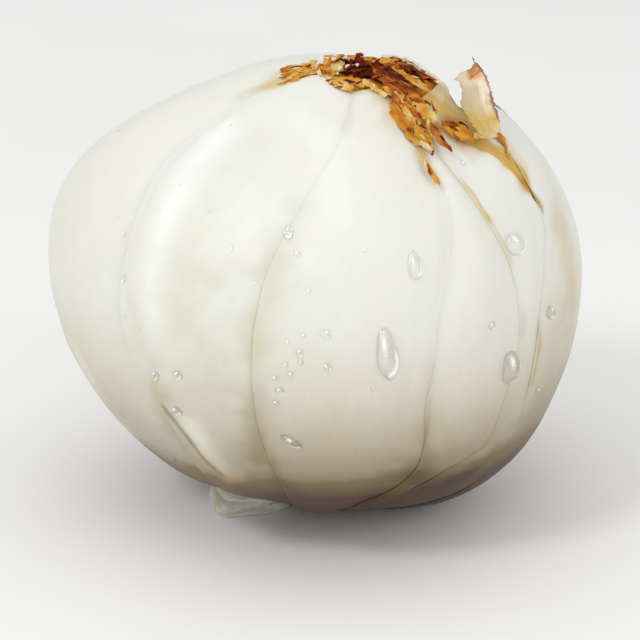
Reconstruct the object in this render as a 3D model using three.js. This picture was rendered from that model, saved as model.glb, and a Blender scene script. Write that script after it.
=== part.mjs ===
// A lily bulb: an egg-round bulb of fleshy overlapping scales that rests on its
// trimmed root plate and on the belly of its lower scales. Millimetres, +Z up,
// the broad front faces -Y, the dried mouth at the top leans towards +X.
import * as THREE from 'three';

// ---------------------------------------------------------------- overall form
const CENTRE_Z = 36.4;          // height of the bulb's middle above the rest plane
const TIP_TILT = 17;            // the tip leans this many degrees towards +X
const LEAN = 20;                // the broadest outline lies in a plane leant back this much
const ROOT_BEND = 7;            // the root pole is turned this far towards -Y
const BODY_DEPTH = 41;          // half size of the body square to its broadest outline
const BELLY_RADIUS = 43;        // mean half width, turns a height into a size ratio
const AXIAL_SHARE = 0.45;       // inner layers shrink less along the axis than across it
const DIMPLE = 0.075;           // hollow in which the root plate sits
const DIMPLE_SPREAD = 20;
const DIMPLE_AT = [8.5, 3.1];   // its middle, degrees off the root pole towards +X and +Y
const HOLLOW = 0.045;           // second, smaller hollow that bares the front of the plate
const HOLLOW_SPREAD = 11;
const HOLLOW_AT = [-2.18, -24.9];
// broadest outline as a mean radius followed by cosine and sine terms
const OUTLINE = [40.521, 0.845, 1.202, 2.52, -0.552, -0.743, 0.679, -0.248, -0.29,
  -0.176, 0.435, -0.017, 0.102, 0.179, -0.013];

// ---------------------------------------------------------------- outer scales
const EDGE = 0.8;               // thickness of a scale at its rim
const GAP = 0.5;                // clearance between neighbouring scales
const OUTER_TAPER = 14;         // degrees over which a scale swells from its side edges
const ROOT_END = 170.2;          // polar angle at which the scales leave the root plate
// polar angles (degrees from the tip) at which the side edges are given
const POLAR = [10, 20, 30, 40, 50, 60, 70, 80, 90, 100, 110, 120, 130, 140, 150, 160, 175];
// azimuth of the upper lying side edge of each outer scale at those polar angles
const OUTER_EDGES = [
  [-200, -200, -199, -198, -197, -197, -197, -197, -196, -194, -190, -184, -177, -170, -164, -159, -155],
  [-146, -146, -146, -147, -146, -145, -142, -139, -137, -133, -127, -119, -115, -109, -103, -98, -94],
  [-114, -112, -106, -104, -105, -106, -107, -106, -104, -101, -97, -92, -86, -79, -72, -66, -62],
  [-84, -80, -76, -71, -66, -66, -67, -66, -65, -61, -57.5, -56.5, -57, -54, -48, -42, -36],
  [-80, -78, -73, -63, -54, -47, -43.5, -42, -42.5, -41.5, -48, -51, -52, -48, -41, -34, -28],
  [-30, -30, -31, -31.5, -30, -34, -36, -35.5, -34, -31, -27.5, -25.5, -28.5, -31, -28.5, -23.5, -18],
  [6, 6, 7, 8, 9, 10, 10, 10, 9, 6, 1, -4, -8, -9, -5, 3, 15],
  [48, 48, 49, 49, 50, 50, 50, 50, 51, 53, 55, 58, 61, 64, 68, 72, 77],
  [86, 86, 87, 88, 89, 89, 89, 89, 90, 92, 96, 102, 108, 113, 118, 121, 125],
  [124, 124, 125, 126, 126, 127, 127, 127, 128, 130, 134, 140, 147, 154, 160, 164, 168],
];
// how far each scale runs on beneath the next one, at the same polar angles
const COVER = [14, 14, 14, 14, 14, 14, 14, 14, 14, 14, 14, 15, 16, 17, 18, 20, 22];
const COVER_4 = [85, 38, 37, 43, 35, 24, 17, 14, 14, 14, 14, 15, 16, 17, 18, 20, 22];
const COVER_10 = [60, 60, 60, 54, 38, 22, 14, 14, 14, 14, 14, 15, 16, 17, 18, 20, 22];
const OUTER_COVER = [COVER, COVER, COVER, COVER_4, COVER, COVER, COVER, COVER, COVER, COVER_10];
// upper rims: [share of the width from the upper lying edge, polar angle]
const OUTER_RIMS = [
  [[0, 50], [0.25, 46], [0.5, 42], [0.7, 39], [0.85, 38], [1, 39]],
  [[0, 34], [0.04, 27], [0.1, 21.5], [0.2, 19.6], [0.4, 19], [0.55, 20], [0.7, 21], [1, 25]],
  [[0, 21.5], [0.13, 19.2], [0.35, 18], [0.54, 20], [0.62, 23], [0.67, 27], [0.71, 32], [0.76, 37], [0.82, 42], [1, 50]],
  [[0, 34], [0.1, 29], [0.2, 22.5], [0.4, 17], [0.6, 14], [0.8, 12.5], [1, 12.5]],
  [[0, 34.5], [0.08, 30.5], [0.19, 29], [0.3, 31.4], [0.4, 33.2], [0.48, 34.6], [0.56, 37.6], [0.61, 42], [0.65, 47.5], [0.72, 51], [0.85, 54], [1, 56]],
  [[0, 29], [0.1, 26], [0.3, 24], [0.6, 25], [1, 33]],
  [[0, 30], [0.3, 30], [0.42, 33], [0.5, 40], [0.7, 43], [1, 45]],
  [[0, 42], [0.12, 40.5], [0.16, 33], [0.2, 27], [0.28, 21], [0.4, 19], [0.6, 19], [1, 24]],
  [[0, 24], [0.2, 19], [0.5, 18], [0.8, 19], [1, 23]],
  [[0, 21], [0.13, 17], [0.31, 13], [0.45, 12], [0.58, 11], [0.72, 16], [0.81, 19], [0.9, 22], [0.95, 26], [1, 35]],
];
// grid of each outer scale, across and along
const OUTER_COLUMNS = [15, 15, 17, 25, 17, 18, 16, 15, 15, 22];
const OUTER_ROWS = [13, 13, 18, 20, 20, 20, 14, 13, 13, 13];
// [height of the upper lying edge, extra sink of the scale below it, swell of
//  the back, place of the swell, full thickness]
const OUTER_SHAPE = [
  [0.6, 0.5, 1.0, 0.5, 6.4], [1.4, 0.9, 1.2, 0.25, 6.6], [0.6, 0.1, 1.6, 0.5, 6.4],
  [0.5, 0.22, 0.9, 0.5, 4.4], [0.4, 0.5, 0.2, 0.5, 4.0], [0.55, 0.25, 1.2, 0.5, 6.4],
  [0.6, 0.35, 1.3, 0.5, 6.4], [0.6, 0.2, 1.3, 0.5, 6.4], [0.6, 0.2, 1.3, 0.5, 6.4],
  [0.6, 0.2, 1.2, 0.5, 6.2],
];

// ---------------------------------------------------------------- inner scales
// layers inside the outer one: [name, number, start azimuth, depth of the back,
//  thickness, swell, cover, polar angles of the tips]
const INNER_LAYERS = [
  ['middle_scale', 6, -178, -10.6, 5.0, 0.7, 18, [15, 17, 16, 18, 15, 17]],
  ['inner_scale', 5, -160, -18.1, 4.6, 0.6, 20, [17, 19, 18, 17, 19]],
  ['heart_scale', 3, -150, -25.0, 4.0, 0.5, 26, [18, 20, 19]],
];

// ---------------------------------------------------------------- small maths
const RAD = Math.PI / 180;
const clamp = (v, a, b) => Math.min(b, Math.max(a, v));
const ease = (t) => { const c = clamp(t, 0, 1); return c * c * (3 - 2 * c); };
function along(xs, ys, x) {
  if (x <= xs[0]) return ys[0];
  for (let k = 1; k < xs.length; k++) {
    if (x <= xs[k]) return ys[k - 1] + (ys[k] - ys[k - 1]) * (x - xs[k - 1]) / (xs[k] - xs[k - 1]);
  }
  return ys[ys.length - 1];
}
const dot = (a, b) => a[0] * b[0] + a[1] * b[1] + a[2] * b[2];
const sL = Math.sin(LEAN * RAD), cL = Math.cos(LEAN * RAD);
const sT = Math.sin(TIP_TILT * RAD), cT = Math.cos(TIP_TILT * RAD);
const BROAD_X = [1, 0, 0], BROAD_UP = [0, sL, cL], BROAD_THRU = [0, cL, -sL];
const AXIS = [sT, 0, cT], SIDE_U = [cT, 0, -sT];

// direction from the bulb's middle; azimuth -90 is the front, 0 is +X
function direction(azimuth, polar) {
  const t = azimuth * RAD, a = polar * RAD, sa = Math.sin(a), ca = Math.cos(a);
  const x = sa * Math.cos(t) * SIDE_U[0] + ca * AXIS[0];
  let y = sa * Math.sin(t);
  let z = sa * Math.cos(t) * SIDE_U[2] + ca * AXIS[2];
  const b = ROOT_BEND * RAD * ease((polar - 70) / 110);
  const yb = y * Math.cos(b) + z * Math.sin(b);
  z = -y * Math.sin(b) + z * Math.cos(b);
  y = yb;
  return [x, y, z];
}
// distance of the mean surface from the middle
function bodyRadius(n, azimuth, polar) {
  const x = dot(n, BROAD_X), y = dot(n, BROAD_UP), z = dot(n, BROAD_THRU), p = Math.atan2(y, x);
  let r = OUTLINE[0];
  for (let k = 1; k < 8; k++) r += OUTLINE[2 * k - 1] * Math.cos(k * p) + OUTLINE[2 * k] * Math.sin(k * p);
  const e = 1 / Math.sqrt((x * x + y * y) / (r * r) + z * z / (BODY_DEPTH * BODY_DEPTH));
  const u = (180 - polar) * Math.cos(azimuth * RAD) - DIMPLE_AT[0];
  const v = (180 - polar) * Math.sin(azimuth * RAD) - DIMPLE_AT[1];
  const d = u + DIMPLE_AT[0] - HOLLOW_AT[0], f = v + DIMPLE_AT[1] - HOLLOW_AT[1];
  return e * (1 - DIMPLE * Math.exp(-(u * u + v * v) / DIMPLE_SPREAD ** 2)
    - HOLLOW * Math.exp(-(d * d + f * f) / HOLLOW_SPREAD ** 2));
}
// point at a height above (below, when negative) the mean surface
function place(height, azimuth, polar) {
  const n = direction(azimuth, polar), r = bodyRadius(n, azimuth, polar);
  const w = [n[0] * r, n[1] * r, n[2] * r], q = dot(w, AXIS), s = height / BELLY_RADIUS;
  const across = 1 + s, axial = 1 + AXIAL_SHARE * s;
  return [0, 1, 2].map((k) => (k === 2 ? CENTRE_Z : 0) + across * (w[k] - q * AXIS[k]) + axial * q * AXIS[k]);
}

// ---------------------------------------------------------------- one layer of scales
class Layer {
  constructor(edges, cover, rims, shape, depth, taper, rootEnd) {
    Object.assign(this, { edges, cover, rims, shape, depth, taper, rootEnd, count: edges.length });
  }
  pick(list, i) { return list[((i % this.count) + this.count) % this.count]; }
  left(i, polar) {
    return along(POLAR, this.pick(this.edges, i), polar) + 360 * Math.floor(i / this.count);
  }
  right(i, polar) { return this.left(i + 1, polar) + along(POLAR, this.pick(this.cover, i), polar); }
  rim(i, share) {
    const r = this.pick(this.rims, i);
    return along(r.map((p) => p[0]), r.map((p) => p[1]), clamp(share, 0, 1));
  }
  thickness(i, azimuth, polar) {
    const L = this.left(i, polar), R = this.right(i, polar), N = this.left(i + 1, polar);
    const rim = this.rim(i, (azimuth - L) / (R - L)), full = this.pick(this.shape, i)[4];
    const atRim = 0.85 * ease((polar - rim) / 14) + 0.15 * ease((polar - rim) / 4);
    const atRoot = 1 - 0.45 * ease((polar - 115) / 45);
    const covered = 1 - 0.35 * ease((azimuth - N) / 10);
    return EDGE + (full - EDGE) * ease((azimuth - L) / this.taper) * ease((R - azimuth) / this.taper)
      * atRim * atRoot * covered;
  }
  back(i, azimuth, polar, nested = 0) {
    const L = this.left(i, polar), N = this.left(i + 1, polar);
    const [a, , swell, at] = this.pick(this.shape, i), next = this.pick(this.shape, i + 1);
    const x = (azimuth - L) / (N - L), c = clamp(x, 0, 1);
    const low = next[0] - EDGE - GAP - next[1];
    let bump;
    if (at >= 0.5) { const m = at / (1 - at); bump = c ** m * (1 - c) * (1 + m) ** (1 + m) / m ** m; }
    else { const m = (1 - at) / at; bump = c * (1 - c) ** m * (1 + m) ** (1 + m) / m ** m; }
    const belly = Math.max(0, Math.sin(polar * RAD)) ** 0.8;
    if (x <= 1 || nested >= 4) return this.depth + a + (low - a) * c + swell * bump * belly;
    // beneath the next scale
    const share = (azimuth - N) / (this.right(i + 1, polar) - N);
    const under = this.back(i + 1, azimuth, polar, nested + 1) - this.thickness(i + 1, azimuth, polar) - GAP;
    return under - next[1] + (EDGE + GAP + next[1]) * ease((this.rim(i + 1, share) - polar - 3.5) / 8);
  }
}

// closed body from a grid of back points and one of face points with a shared border
function closedBody(back, face) {
  const ns = back.length, nt = back[0].length, position = [], index = [], inner = [];
  for (let a = 0; a < ns; a++) for (let b = 0; b < nt; b++) position.push(...back[a][b]);
  for (let a = 0; a < ns; a++) {
    inner.push([]);
    for (let b = 0; b < nt; b++) {
      if (a === 0 || b === 0 || a === ns - 1 || b === nt - 1) { inner[a].push(a * nt + b); continue; }
      inner[a].push(position.length / 3);
      position.push(...face[a][b]);
    }
  }
  for (let a = 0; a < ns - 1; a++) for (let b = 0; b < nt - 1; b++) {
    const o = [a * nt + b, (a + 1) * nt + b, (a + 1) * nt + b + 1, a * nt + b + 1];
    const q = [inner[a][b], inner[a + 1][b], inner[a + 1][b + 1], inner[a][b + 1]];
    index.push(o[0], o[1], o[2], o[0], o[2], o[3], q[0], q[2], q[1], q[0], q[3], q[2]);
  }
  return solid(position, index);
}
// geometry with outward winding
function solid(position, index) {
  let v = 0;
  const P = (i) => [position[3 * i], position[3 * i + 1], position[3 * i + 2]];
  for (let k = 0; k < index.length; k += 3) {
    const [a, b, c] = [P(index[k]), P(index[k + 1]), P(index[k + 2])];
    v += a[0] * (b[1] * c[2] - b[2] * c[1]) - a[1] * (b[0] * c[2] - b[2] * c[0]) + a[2] * (b[0] * c[1] - b[1] * c[0]);
  }
  if (v < 0) for (let k = 0; k < index.length; k += 3) [index[k + 1], index[k + 2]] = [index[k + 2], index[k + 1]];
  const g = new THREE.BufferGeometry();
  g.setAttribute('position', new THREE.Float32BufferAttribute(position, 3));
  g.setIndex(index);
  g.computeVertexNormals();
  return g;
}
// values from 0 to 1, closer together near both ends
const spread = (n, pull) => Array.from({ length: n }, (_, k) => {
  const u = k / (n - 1);
  return u - pull * Math.sin(2 * Math.PI * u);
});

function scaleBody(layer, i, columns, rows) {
  const back = [], face = [];
  for (const share of spread(columns, 0.07)) {
    const rim = layer.rim(i, share), b = [], f = [];
    for (const v of spread(rows, 0.05)) {
      const polar = rim + (layer.rootEnd - rim) * v;
      const L = layer.left(i, polar), R = layer.right(i, polar), azimuth = L + share * (R - L);
      const h = layer.back(i, azimuth, polar), t = layer.thickness(i, azimuth, polar);
      const edge = share === 0 || share === 1 || v === 0 || v === 1;
      const p = place(edge ? h - t / 2 : h, azimuth, polar), q = place(h - t, azimuth, polar);
      p[2] = Math.max(0, p[2]);     // the belly is pressed flat where it rests
      b.push(p); f.push(q);
    }
    back.push(b); face.push(f);
  }
  return closedBody(back, face);
}

// ---------------------------------------------------------------- assembly
const bulb = new THREE.Group();
bulb.name = 'lily_bulb';
const material = (name, colour, roughness) => {
  const m = new THREE.MeshStandardMaterial({ color: colour, roughness, metalness: 0 });
  m.name = name;
  return m;
};
function add(name, geometry, slot, colour, roughness) {
  const mesh = new THREE.Mesh(geometry, material(slot, colour, roughness));
  mesh.name = name;
  bulb.add(mesh);
}

const outer = new Layer(OUTER_EDGES, OUTER_COVER, OUTER_RIMS, OUTER_SHAPE, 0, OUTER_TAPER, ROOT_END);
for (let i = 0; i < outer.count; i++) {
  add(`outer_scale_${i + 1}`, scaleBody(outer, i, OUTER_COLUMNS[i], OUTER_ROWS[i]), 'scale_flesh', 0xe9e7da, 0.4);
}
for (const [name, count, start, depth, full, swell, cover, tips] of INNER_LAYERS) {
  const step = 360 / count;
  const edges = tips.map((_, i) => POLAR.map((a) => start + step * i
    + along([10, 90, 130, 175], [0, 0, 12, 30], a)));
  const rims = tips.map((t) => [[0, t + 9], [0.15, t + 3], [0.5, t], [0.85, t + 3], [1, t + 9]]);
  const layer = new Layer(edges, tips.map(() => POLAR.map(() => cover)), rims,
    tips.map(() => [0.5, 0.1, swell, 0.5, full]), depth, 18, ROOT_END);
  for (let i = 0; i < count; i++) {
    add(`${name}_${i + 1}`, scaleBody(layer, i, count === 6 ? 11 : 10, 9), 'inner_flesh', 0xe6dfbf, 0.5);
  }
}

// ---------------------------------------------------------------- root plate
// rings run from the underside out over the rim and up into the core that
// carries the scales: [height or null for the rest plane, polar angle]
const PLATE_SIDES = 30;
const PLATE_RIM_AT = [-180, -172, -147, -127, -109, -90, -59, -31, 0, 31, 59, 89, 120, 157, 180];
const PLATE_RIM = [168.9, 168.8, 168.6, 168.2, 168.6, 169.2, 169.3, 168.6, 167.7, 167, 166.3, 166.5, 167.3, 169, 168.9];
// distance of the cut underside's edge from the middle, by azimuth
const PLATE_FOOT_AT = [-180, -165, -151, -130, -112, -90, -60, -38, 0, 60, 120, 180];
const PLATE_FOOT = [7.6, 7.8, 8.0, 9.2, 7.4, 6.2, 6.0, 6.4, 7.2, 8.2, 8.4, 7.6];
const PLATE_RINGS = [[1.5, 171.6], [-2, 172.8], [-10, 173], [-20, 173.2], [-27, 174]];
function rootPlate() {
  const position = [], index = [], pole = place(1.5, 0, 179.9), rings = [];
  const ring = (points) => { rings.push(position.length / 3); for (const p of points) position.push(...p); };
  const around = Array.from({ length: PLATE_SIDES }, (_, k) => 360 * k / PLATE_SIDES - 180);
  const rimOf = (a) => place(1.5, a, along(PLATE_RIM_AT, PLATE_RIM, a));
  // cut underside, then the wall up to the rim: [share of the way from foot to rim, size, height]
  for (const [w, k, z] of [[0, 0.5, 0], [0, 0.96, 0], [0, 1.0, 0.15], [0.5, 1.0, 0.55], [1, 0.97, 1]]) {
    ring(around.map((a) => {
      const p = rimOf(a), top = Math.max(p[2], 0.9), x = p[0] - pole[0], y = p[1] - pole[1];
      const far = Math.hypot(x, y), m = k * (along(PLATE_FOOT_AT, PLATE_FOOT, a) * (1 - w) + far * w) / far;
      return [pole[0] + x * m, pole[1] + y * m, z * top];
    }));
  }
  for (const [h, polar] of PLATE_RINGS) {
    ring(around.map((a) => { const p = place(h, a, polar); p[2] = Math.max(p[2], 0.9); return p; }));
  }
  const bottom = position.length / 3; position.push(pole[0], pole[1], 0);
  const last = place(-27.5, 0, 179.9), top = bottom + 1; position.push(...last);
  for (let k = 0; k < PLATE_SIDES; k++) {
    const n = (k + 1) % PLATE_SIDES;
    index.push(bottom, rings[0] + n, rings[0] + k);
    for (let r = 0; r < rings.length - 1; r++) {
      const a = rings[r] + k, b = rings[r] + n, c = rings[r + 1] + n, d = rings[r + 1] + k;
      index.push(a, b, c, a, c, d);
    }
    index.push(rings[rings.length - 1] + k, rings[rings.length - 1] + n, top);
  }
  return solid(position, index);
}
add('basal_plate', rootPlate(), 'root_plate', 0xcfc3a3, 0.7);

// ---------------------------------------------------------------- withered heart
// the dead stalk in the middle of the mouth: [height along the axis, radius]
const STALK = [[-20, 2.4], [-8, 5.4], [8, 6.2], [20, 5.2], [27, 4.0], [31.5, 3.4], [33.2, 1.6]];
function stalk() {
  const position = [], index = [], sides = 12;
  for (const [q, r] of STALK) for (let k = 0; k < sides; k++) {
    const t = 2 * Math.PI * k / sides, rr = r * (1 + 0.08 * Math.sin(3 * t + q));
    const x = rr * Math.cos(t), y = rr * Math.sin(t);
    position.push(q * AXIS[0] + x * SIDE_U[0], y, CENTRE_Z + q * AXIS[2] + x * SIDE_U[2]);
  }
  const bottom = position.length / 3;
  position.push(-21 * AXIS[0], 0, CENTRE_Z - 21 * AXIS[2]);
  position.push(34 * AXIS[0], 0, CENTRE_Z + 34 * AXIS[2]);
  for (let k = 0; k < sides; k++) {
    const n = (k + 1) % sides, l = (STALK.length - 1) * sides;
    index.push(bottom, n, k, l + k, l + n, bottom + 1);
    for (let r = 0; r < STALK.length - 1; r++) {
      const a = r * sides + k, b = r * sides + n;
      index.push(a, b, b + sides, a, b + sides, a + sides);
    }
  }
  return solid(position, index);
}
add('stalk_remnant', stalk(), 'dry_tissue', 0x7a3c1c, 0.8);

// ---------------------------------------------------------------- dried tips
// withered scale tips over the mouth. Each is a strip whose middle line is given
// as [x, y, height, half width]; x and y are polar degrees from the tip towards
// +X and +Y.
const DRY_THICKNESS = 0.9;
const DRY_TIPS = [
  [[-24.5, -13.5, 2.9, 0.5], [-21.5, -12.5, 2.8, 3.4], [-17.5, -10.5, 2.6, 4.6], [-13.5, -8, 2.4, 3.6], [-10.5, -6, 2.3, 0.6]],
  [[-9.5, -3, 1.6, 0.6], [-7.5, -2, 1.9, 4.6], [-4.5, -1.5, 2.0, 6.0], [-1.5, -1.5, 1.7, 4.8], [0.5, -1.5, 1.4, 0.6]],
  [[2.5, -2.5, 1.7, 0.5], [3.5, -6.5, 2.1, 2.2], [5, -10.5, 2.3, 2.8], [7, -14.5, 2.4, 2.0], [9, -18, 2.4, 0.5]],
  [[3.5, -18, 3.3, 0.6], [5.5, -21.5, 3.2, 2.6], [7.5, -25.5, 3.0, 2.4], [9.5, -30, 2.8, 1.6], [12, -34.5, 2.6, 0.4]],
  [[10.5, -20, 3.0, 0.5], [12.5, -21.2, 2.9, 2.2], [14.7, -22.4, 2.8, 2.6], [16.6, -23.4, 2.6, 1.8], [18.2, -24.2, 2.5, 0.4]],
];
function dryTip(line) {
  const point = ([x, y, h]) => place(h, Math.atan2(y, x) / RAD, Math.hypot(x, y));
  const mid = line.map((l) => new THREE.Vector3(...point(l)));
  const low = line.map(([x, y, h]) => new THREE.Vector3(...point([x, y, h - DRY_THICKNESS])));
  const back = [[], [], []], face = [[], [], []];
  for (let k = 0; k < line.length; k++) {
    const run = mid[Math.min(k + 1, line.length - 1)].clone().sub(mid[Math.max(k - 1, 0)]);
    const up = mid[k].clone().sub(low[k]).normalize();
    const side = run.cross(up).normalize();
    [-1, 0, 1].forEach((s, c) => {
      const shift = side.clone().multiplyScalar(s * line[k][3]);
      const sag = up.clone().multiplyScalar(-0.25 * Math.abs(s));
      back[c].push(mid[k].clone().add(shift).add(sag).toArray());
      face[c].push(low[k].clone().add(shift).toArray());
    });
  }
  return shell(back, face);
}
// closed body from two separate grids with walls between their borders
function shell(back, face) {
  const ns = back.length, nt = back[0].length, n = ns * nt, position = [], index = [];
  for (const grid of [back, face]) for (const col of grid) for (const p of col) position.push(...p);
  for (let a = 0; a < ns - 1; a++) for (let b = 0; b < nt - 1; b++) {
    const o = [a * nt + b, (a + 1) * nt + b, (a + 1) * nt + b + 1, a * nt + b + 1];
    index.push(o[0], o[1], o[2], o[0], o[2], o[3]);
    index.push(n + o[0], n + o[2], n + o[1], n + o[0], n + o[3], n + o[2]);
  }
  const border = [];
  for (let b = 0; b < nt - 1; b++) border.push([b + 1, b]);
  for (let a = 0; a < ns - 1; a++) border.push([a * nt, (a + 1) * nt]);
  for (let b = 0; b < nt - 1; b++) border.push([(ns - 1) * nt + b, (ns - 1) * nt + b + 1]);
  for (let a = 0; a < ns - 1; a++) border.push([(a + 1) * nt + nt - 1, a * nt + nt - 1]);
  for (const [p, q] of border) index.push(q, p, n + p, q, n + p, n + q);
  return solid(position, index);
}
DRY_TIPS.forEach((line, k) => add(`dry_tip_${k + 1}`, dryTip(line), 'dry_tissue', 0xa85a22, 0.8));

// ---------------------------------------------------------------- torn flap
// a torn, half dried tongue of scale that stands up at the right of the mouth.
// Rows from root to top, measured from the bulb's middle in its broad plane:
// [left x, left height, left distance through, then the same three for the right]
const FLAP_ROWS = [
  [25.4, 23.2, -26.2, 28.3, 23.3, -24.6], [23.9, 25.2, -25.9, 28.6, 25.3, -23.6], [22.5, 28.7, -23.8, 27.8, 29.1, -21.8],
  [21.5, 32.7, -21.2, 27.0, 32.5, -19.8], [23.7, 34.2, -19.8, 26.2, 34.7, -19.0], [24.7, 36.6, -18.2, 25.1, 36.3, -18.1],
];
const FLAP_THICKNESS = 0.9;
function tornFlap() {
  const columns = 4, back = [], face = [];
  const at = (x, up, through) => [0, 1, 2].map((k) => (k === 2 ? CENTRE_Z : 0)
    + x * BROAD_X[k] + up * BROAD_UP[k] + through * BROAD_THRU[k]);
  for (let c = 0; c < columns; c++) {
    back.push([]); face.push([]);
    for (const [xl, ul, dl, xr, ur, dr] of FLAP_ROWS) {
      const s = c / (columns - 1), d = dl + (dr - dl) * s - 1.3 * (2 * s - 1) ** 2;
      back[c].push(at(xl + (xr - xl) * s, ul + (ur - ul) * s, d));
      face[c].push(at(xl + (xr - xl) * s, ul + (ur - ul) * s, d + FLAP_THICKNESS));
    }
  }
  return shell(back, face);
}
add('torn_flap', tornFlap(), 'dry_flap', 0xd9cdb4, 0.6);

// ---------------------------------------------------------------- common origin
// the middle of the footprint is x = y = 0 and the bulb rests on z = 0
const box = new THREE.Box3();
for (const mesh of bulb.children) { mesh.geometry.computeBoundingBox(); box.union(mesh.geometry.boundingBox); }
for (const mesh of bulb.children) {
  mesh.geometry.translate(-(box.min.x + box.max.x) / 2, -(box.min.y + box.max.y) / 2, -box.min.z);
}

export default bulb;
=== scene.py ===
import bpy
import numpy as np
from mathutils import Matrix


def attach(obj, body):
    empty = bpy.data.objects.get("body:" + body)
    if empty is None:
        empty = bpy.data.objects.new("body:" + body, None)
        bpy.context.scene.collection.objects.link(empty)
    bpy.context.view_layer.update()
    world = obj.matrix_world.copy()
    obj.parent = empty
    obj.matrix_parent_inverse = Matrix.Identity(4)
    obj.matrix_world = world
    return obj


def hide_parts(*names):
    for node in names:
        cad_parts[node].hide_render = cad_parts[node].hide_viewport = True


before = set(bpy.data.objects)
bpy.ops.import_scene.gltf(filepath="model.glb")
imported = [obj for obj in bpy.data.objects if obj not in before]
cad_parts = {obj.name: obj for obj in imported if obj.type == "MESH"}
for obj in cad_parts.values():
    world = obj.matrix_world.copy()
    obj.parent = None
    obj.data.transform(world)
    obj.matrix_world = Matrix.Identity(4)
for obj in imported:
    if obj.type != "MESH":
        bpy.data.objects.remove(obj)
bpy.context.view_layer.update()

# ---------------------------------------------------------------- form, as in the CAD source
RAD = np.pi / 180
CENTRE_Z = 36.4
TIP_TILT = 17
LEAN = 20
ROOT_BEND = 7
BODY_DEPTH = 41
BELLY_RADIUS = 43
AXIAL_SHARE = 0.45
DIMPLE = 0.075
DIMPLE_SPREAD = 20
DIMPLE_AT = (8.5, 3.1)
HOLLOW = 0.045
HOLLOW_SPREAD = 11
HOLLOW_AT = (-2.18, -24.9)
OUTLINE = [40.521, 0.845, 1.202, 2.52, -0.552, -0.743, 0.679, -0.248, -0.29,
           -0.176, 0.435, -0.017, 0.102, 0.179, -0.013]
OUTER_TAPER = 14
ROOT_END = 170.2
POLAR = [10, 20, 30, 40, 50, 60, 70, 80, 90, 100, 110, 120, 130, 140, 150, 160, 175]
OUTER_EDGES = [
    [-200, -200, -199, -198, -197, -197, -197, -197, -196, -194, -190, -184, -177, -170, -164, -159, -155],
    [-146, -146, -146, -147, -146, -145, -142, -139, -137, -133, -127, -119, -115, -109, -103, -98, -94],
    [-114, -112, -106, -104, -105, -106, -107, -106, -104, -101, -97, -92, -86, -79, -72, -66, -62],
    [-84, -80, -76, -71, -66, -66, -67, -66, -65, -61, -57.5, -56.5, -57, -54, -48, -42, -36],
    [-80, -78, -73, -63, -54, -47, -43.5, -42, -42.5, -41.5, -48, -51, -52, -48, -41, -34, -28],
    [-30, -30, -31, -31.5, -30, -34, -36, -35.5, -34, -31, -27.5, -25.5, -28.5, -31, -28.5, -23.5, -18],
    [6, 6, 7, 8, 9, 10, 10, 10, 9, 6, 1, -4, -8, -9, -5, 3, 15],
    [48, 48, 49, 49, 50, 50, 50, 50, 51, 53, 55, 58, 61, 64, 68, 72, 77],
    [86, 86, 87, 88, 89, 89, 89, 89, 90, 92, 96, 102, 108, 113, 118, 121, 125],
    [124, 124, 125, 126, 126, 127, 127, 127, 128, 130, 134, 140, 147, 154, 160, 164, 168],
]
COVER = [14, 14, 14, 14, 14, 14, 14, 14, 14, 14, 14, 15, 16, 17, 18, 20, 22]
COVER_4 = [85, 38, 37, 43, 35, 24, 17, 14, 14, 14, 14, 15, 16, 17, 18, 20, 22]
COVER_10 = [60, 60, 60, 54, 38, 22, 14, 14, 14, 14, 14, 15, 16, 17, 18, 20, 22]
OUTER_COVER = [COVER, COVER, COVER, COVER_4, COVER, COVER, COVER, COVER, COVER, COVER_10]
OUTER_RIMS = [
    [[0, 50], [0.25, 46], [0.5, 42], [0.7, 39], [0.85, 38], [1, 39]],
    [[0, 34], [0.04, 27], [0.1, 21.5], [0.2, 19.6], [0.4, 19], [0.55, 20], [0.7, 21], [1, 25]],
    [[0, 21.5], [0.13, 19.2], [0.35, 18], [0.54, 20], [0.62, 23], [0.67, 27], [0.71, 32], [0.76, 37], [0.82, 42], [1, 50]],
    [[0, 34], [0.1, 29], [0.2, 22.5], [0.4, 17], [0.6, 14], [0.8, 12.5], [1, 12.5]],
    [[0, 34.5], [0.08, 30.5], [0.19, 29], [0.3, 31.4], [0.4, 33.2], [0.48, 34.6], [0.56, 37.6], [0.61, 42], [0.65, 47.5], [0.72, 51], [0.85, 54], [1, 56]],
    [[0, 29], [0.1, 26], [0.3, 24], [0.6, 25], [1, 33]],
    [[0, 30], [0.3, 30], [0.42, 33], [0.5, 40], [0.7, 43], [1, 45]],
    [[0, 42], [0.12, 40.5], [0.16, 33], [0.2, 27], [0.28, 21], [0.4, 19], [0.6, 19], [1, 24]],
    [[0, 24], [0.2, 19], [0.5, 18], [0.8, 19], [1, 23]],
    [[0, 21], [0.13, 17], [0.31, 13], [0.45, 12], [0.58, 11], [0.72, 16], [0.81, 19], [0.9, 22], [0.95, 26], [1, 35]],
]
OUTER_SHAPE = [
    [0.6, 0.5, 1.0, 0.5, 6.4],
    [1.4, 0.9, 1.2, 0.25, 6.6],
    [0.6, 0.1, 1.6, 0.5, 6.4],
    [0.5, 0.22, 0.9, 0.5, 4.4],
    [0.4, 0.5, 0.2, 0.5, 4.0],
    [0.55, 0.25, 1.2, 0.5, 6.4],
    [0.6, 0.35, 1.3, 0.5, 6.4],
    [0.6, 0.2, 1.3, 0.5, 6.4],
    [0.6, 0.2, 1.3, 0.5, 6.4],
    [0.6, 0.2, 1.2, 0.5, 6.2],
]
INNER_LAYERS = [
    ("middle_scale", 6, -178, -10.6, 5.0, 0.7, 18, [15, 17, 16, 18, 15, 17]),
    ("inner_scale", 5, -160, -18.1, 4.6, 0.6, 20, [17, 19, 18, 17, 19]),
    ("heart_scale", 3, -150, -25.0, 4.0, 0.5, 26, [18, 20, 19]),
]
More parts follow.
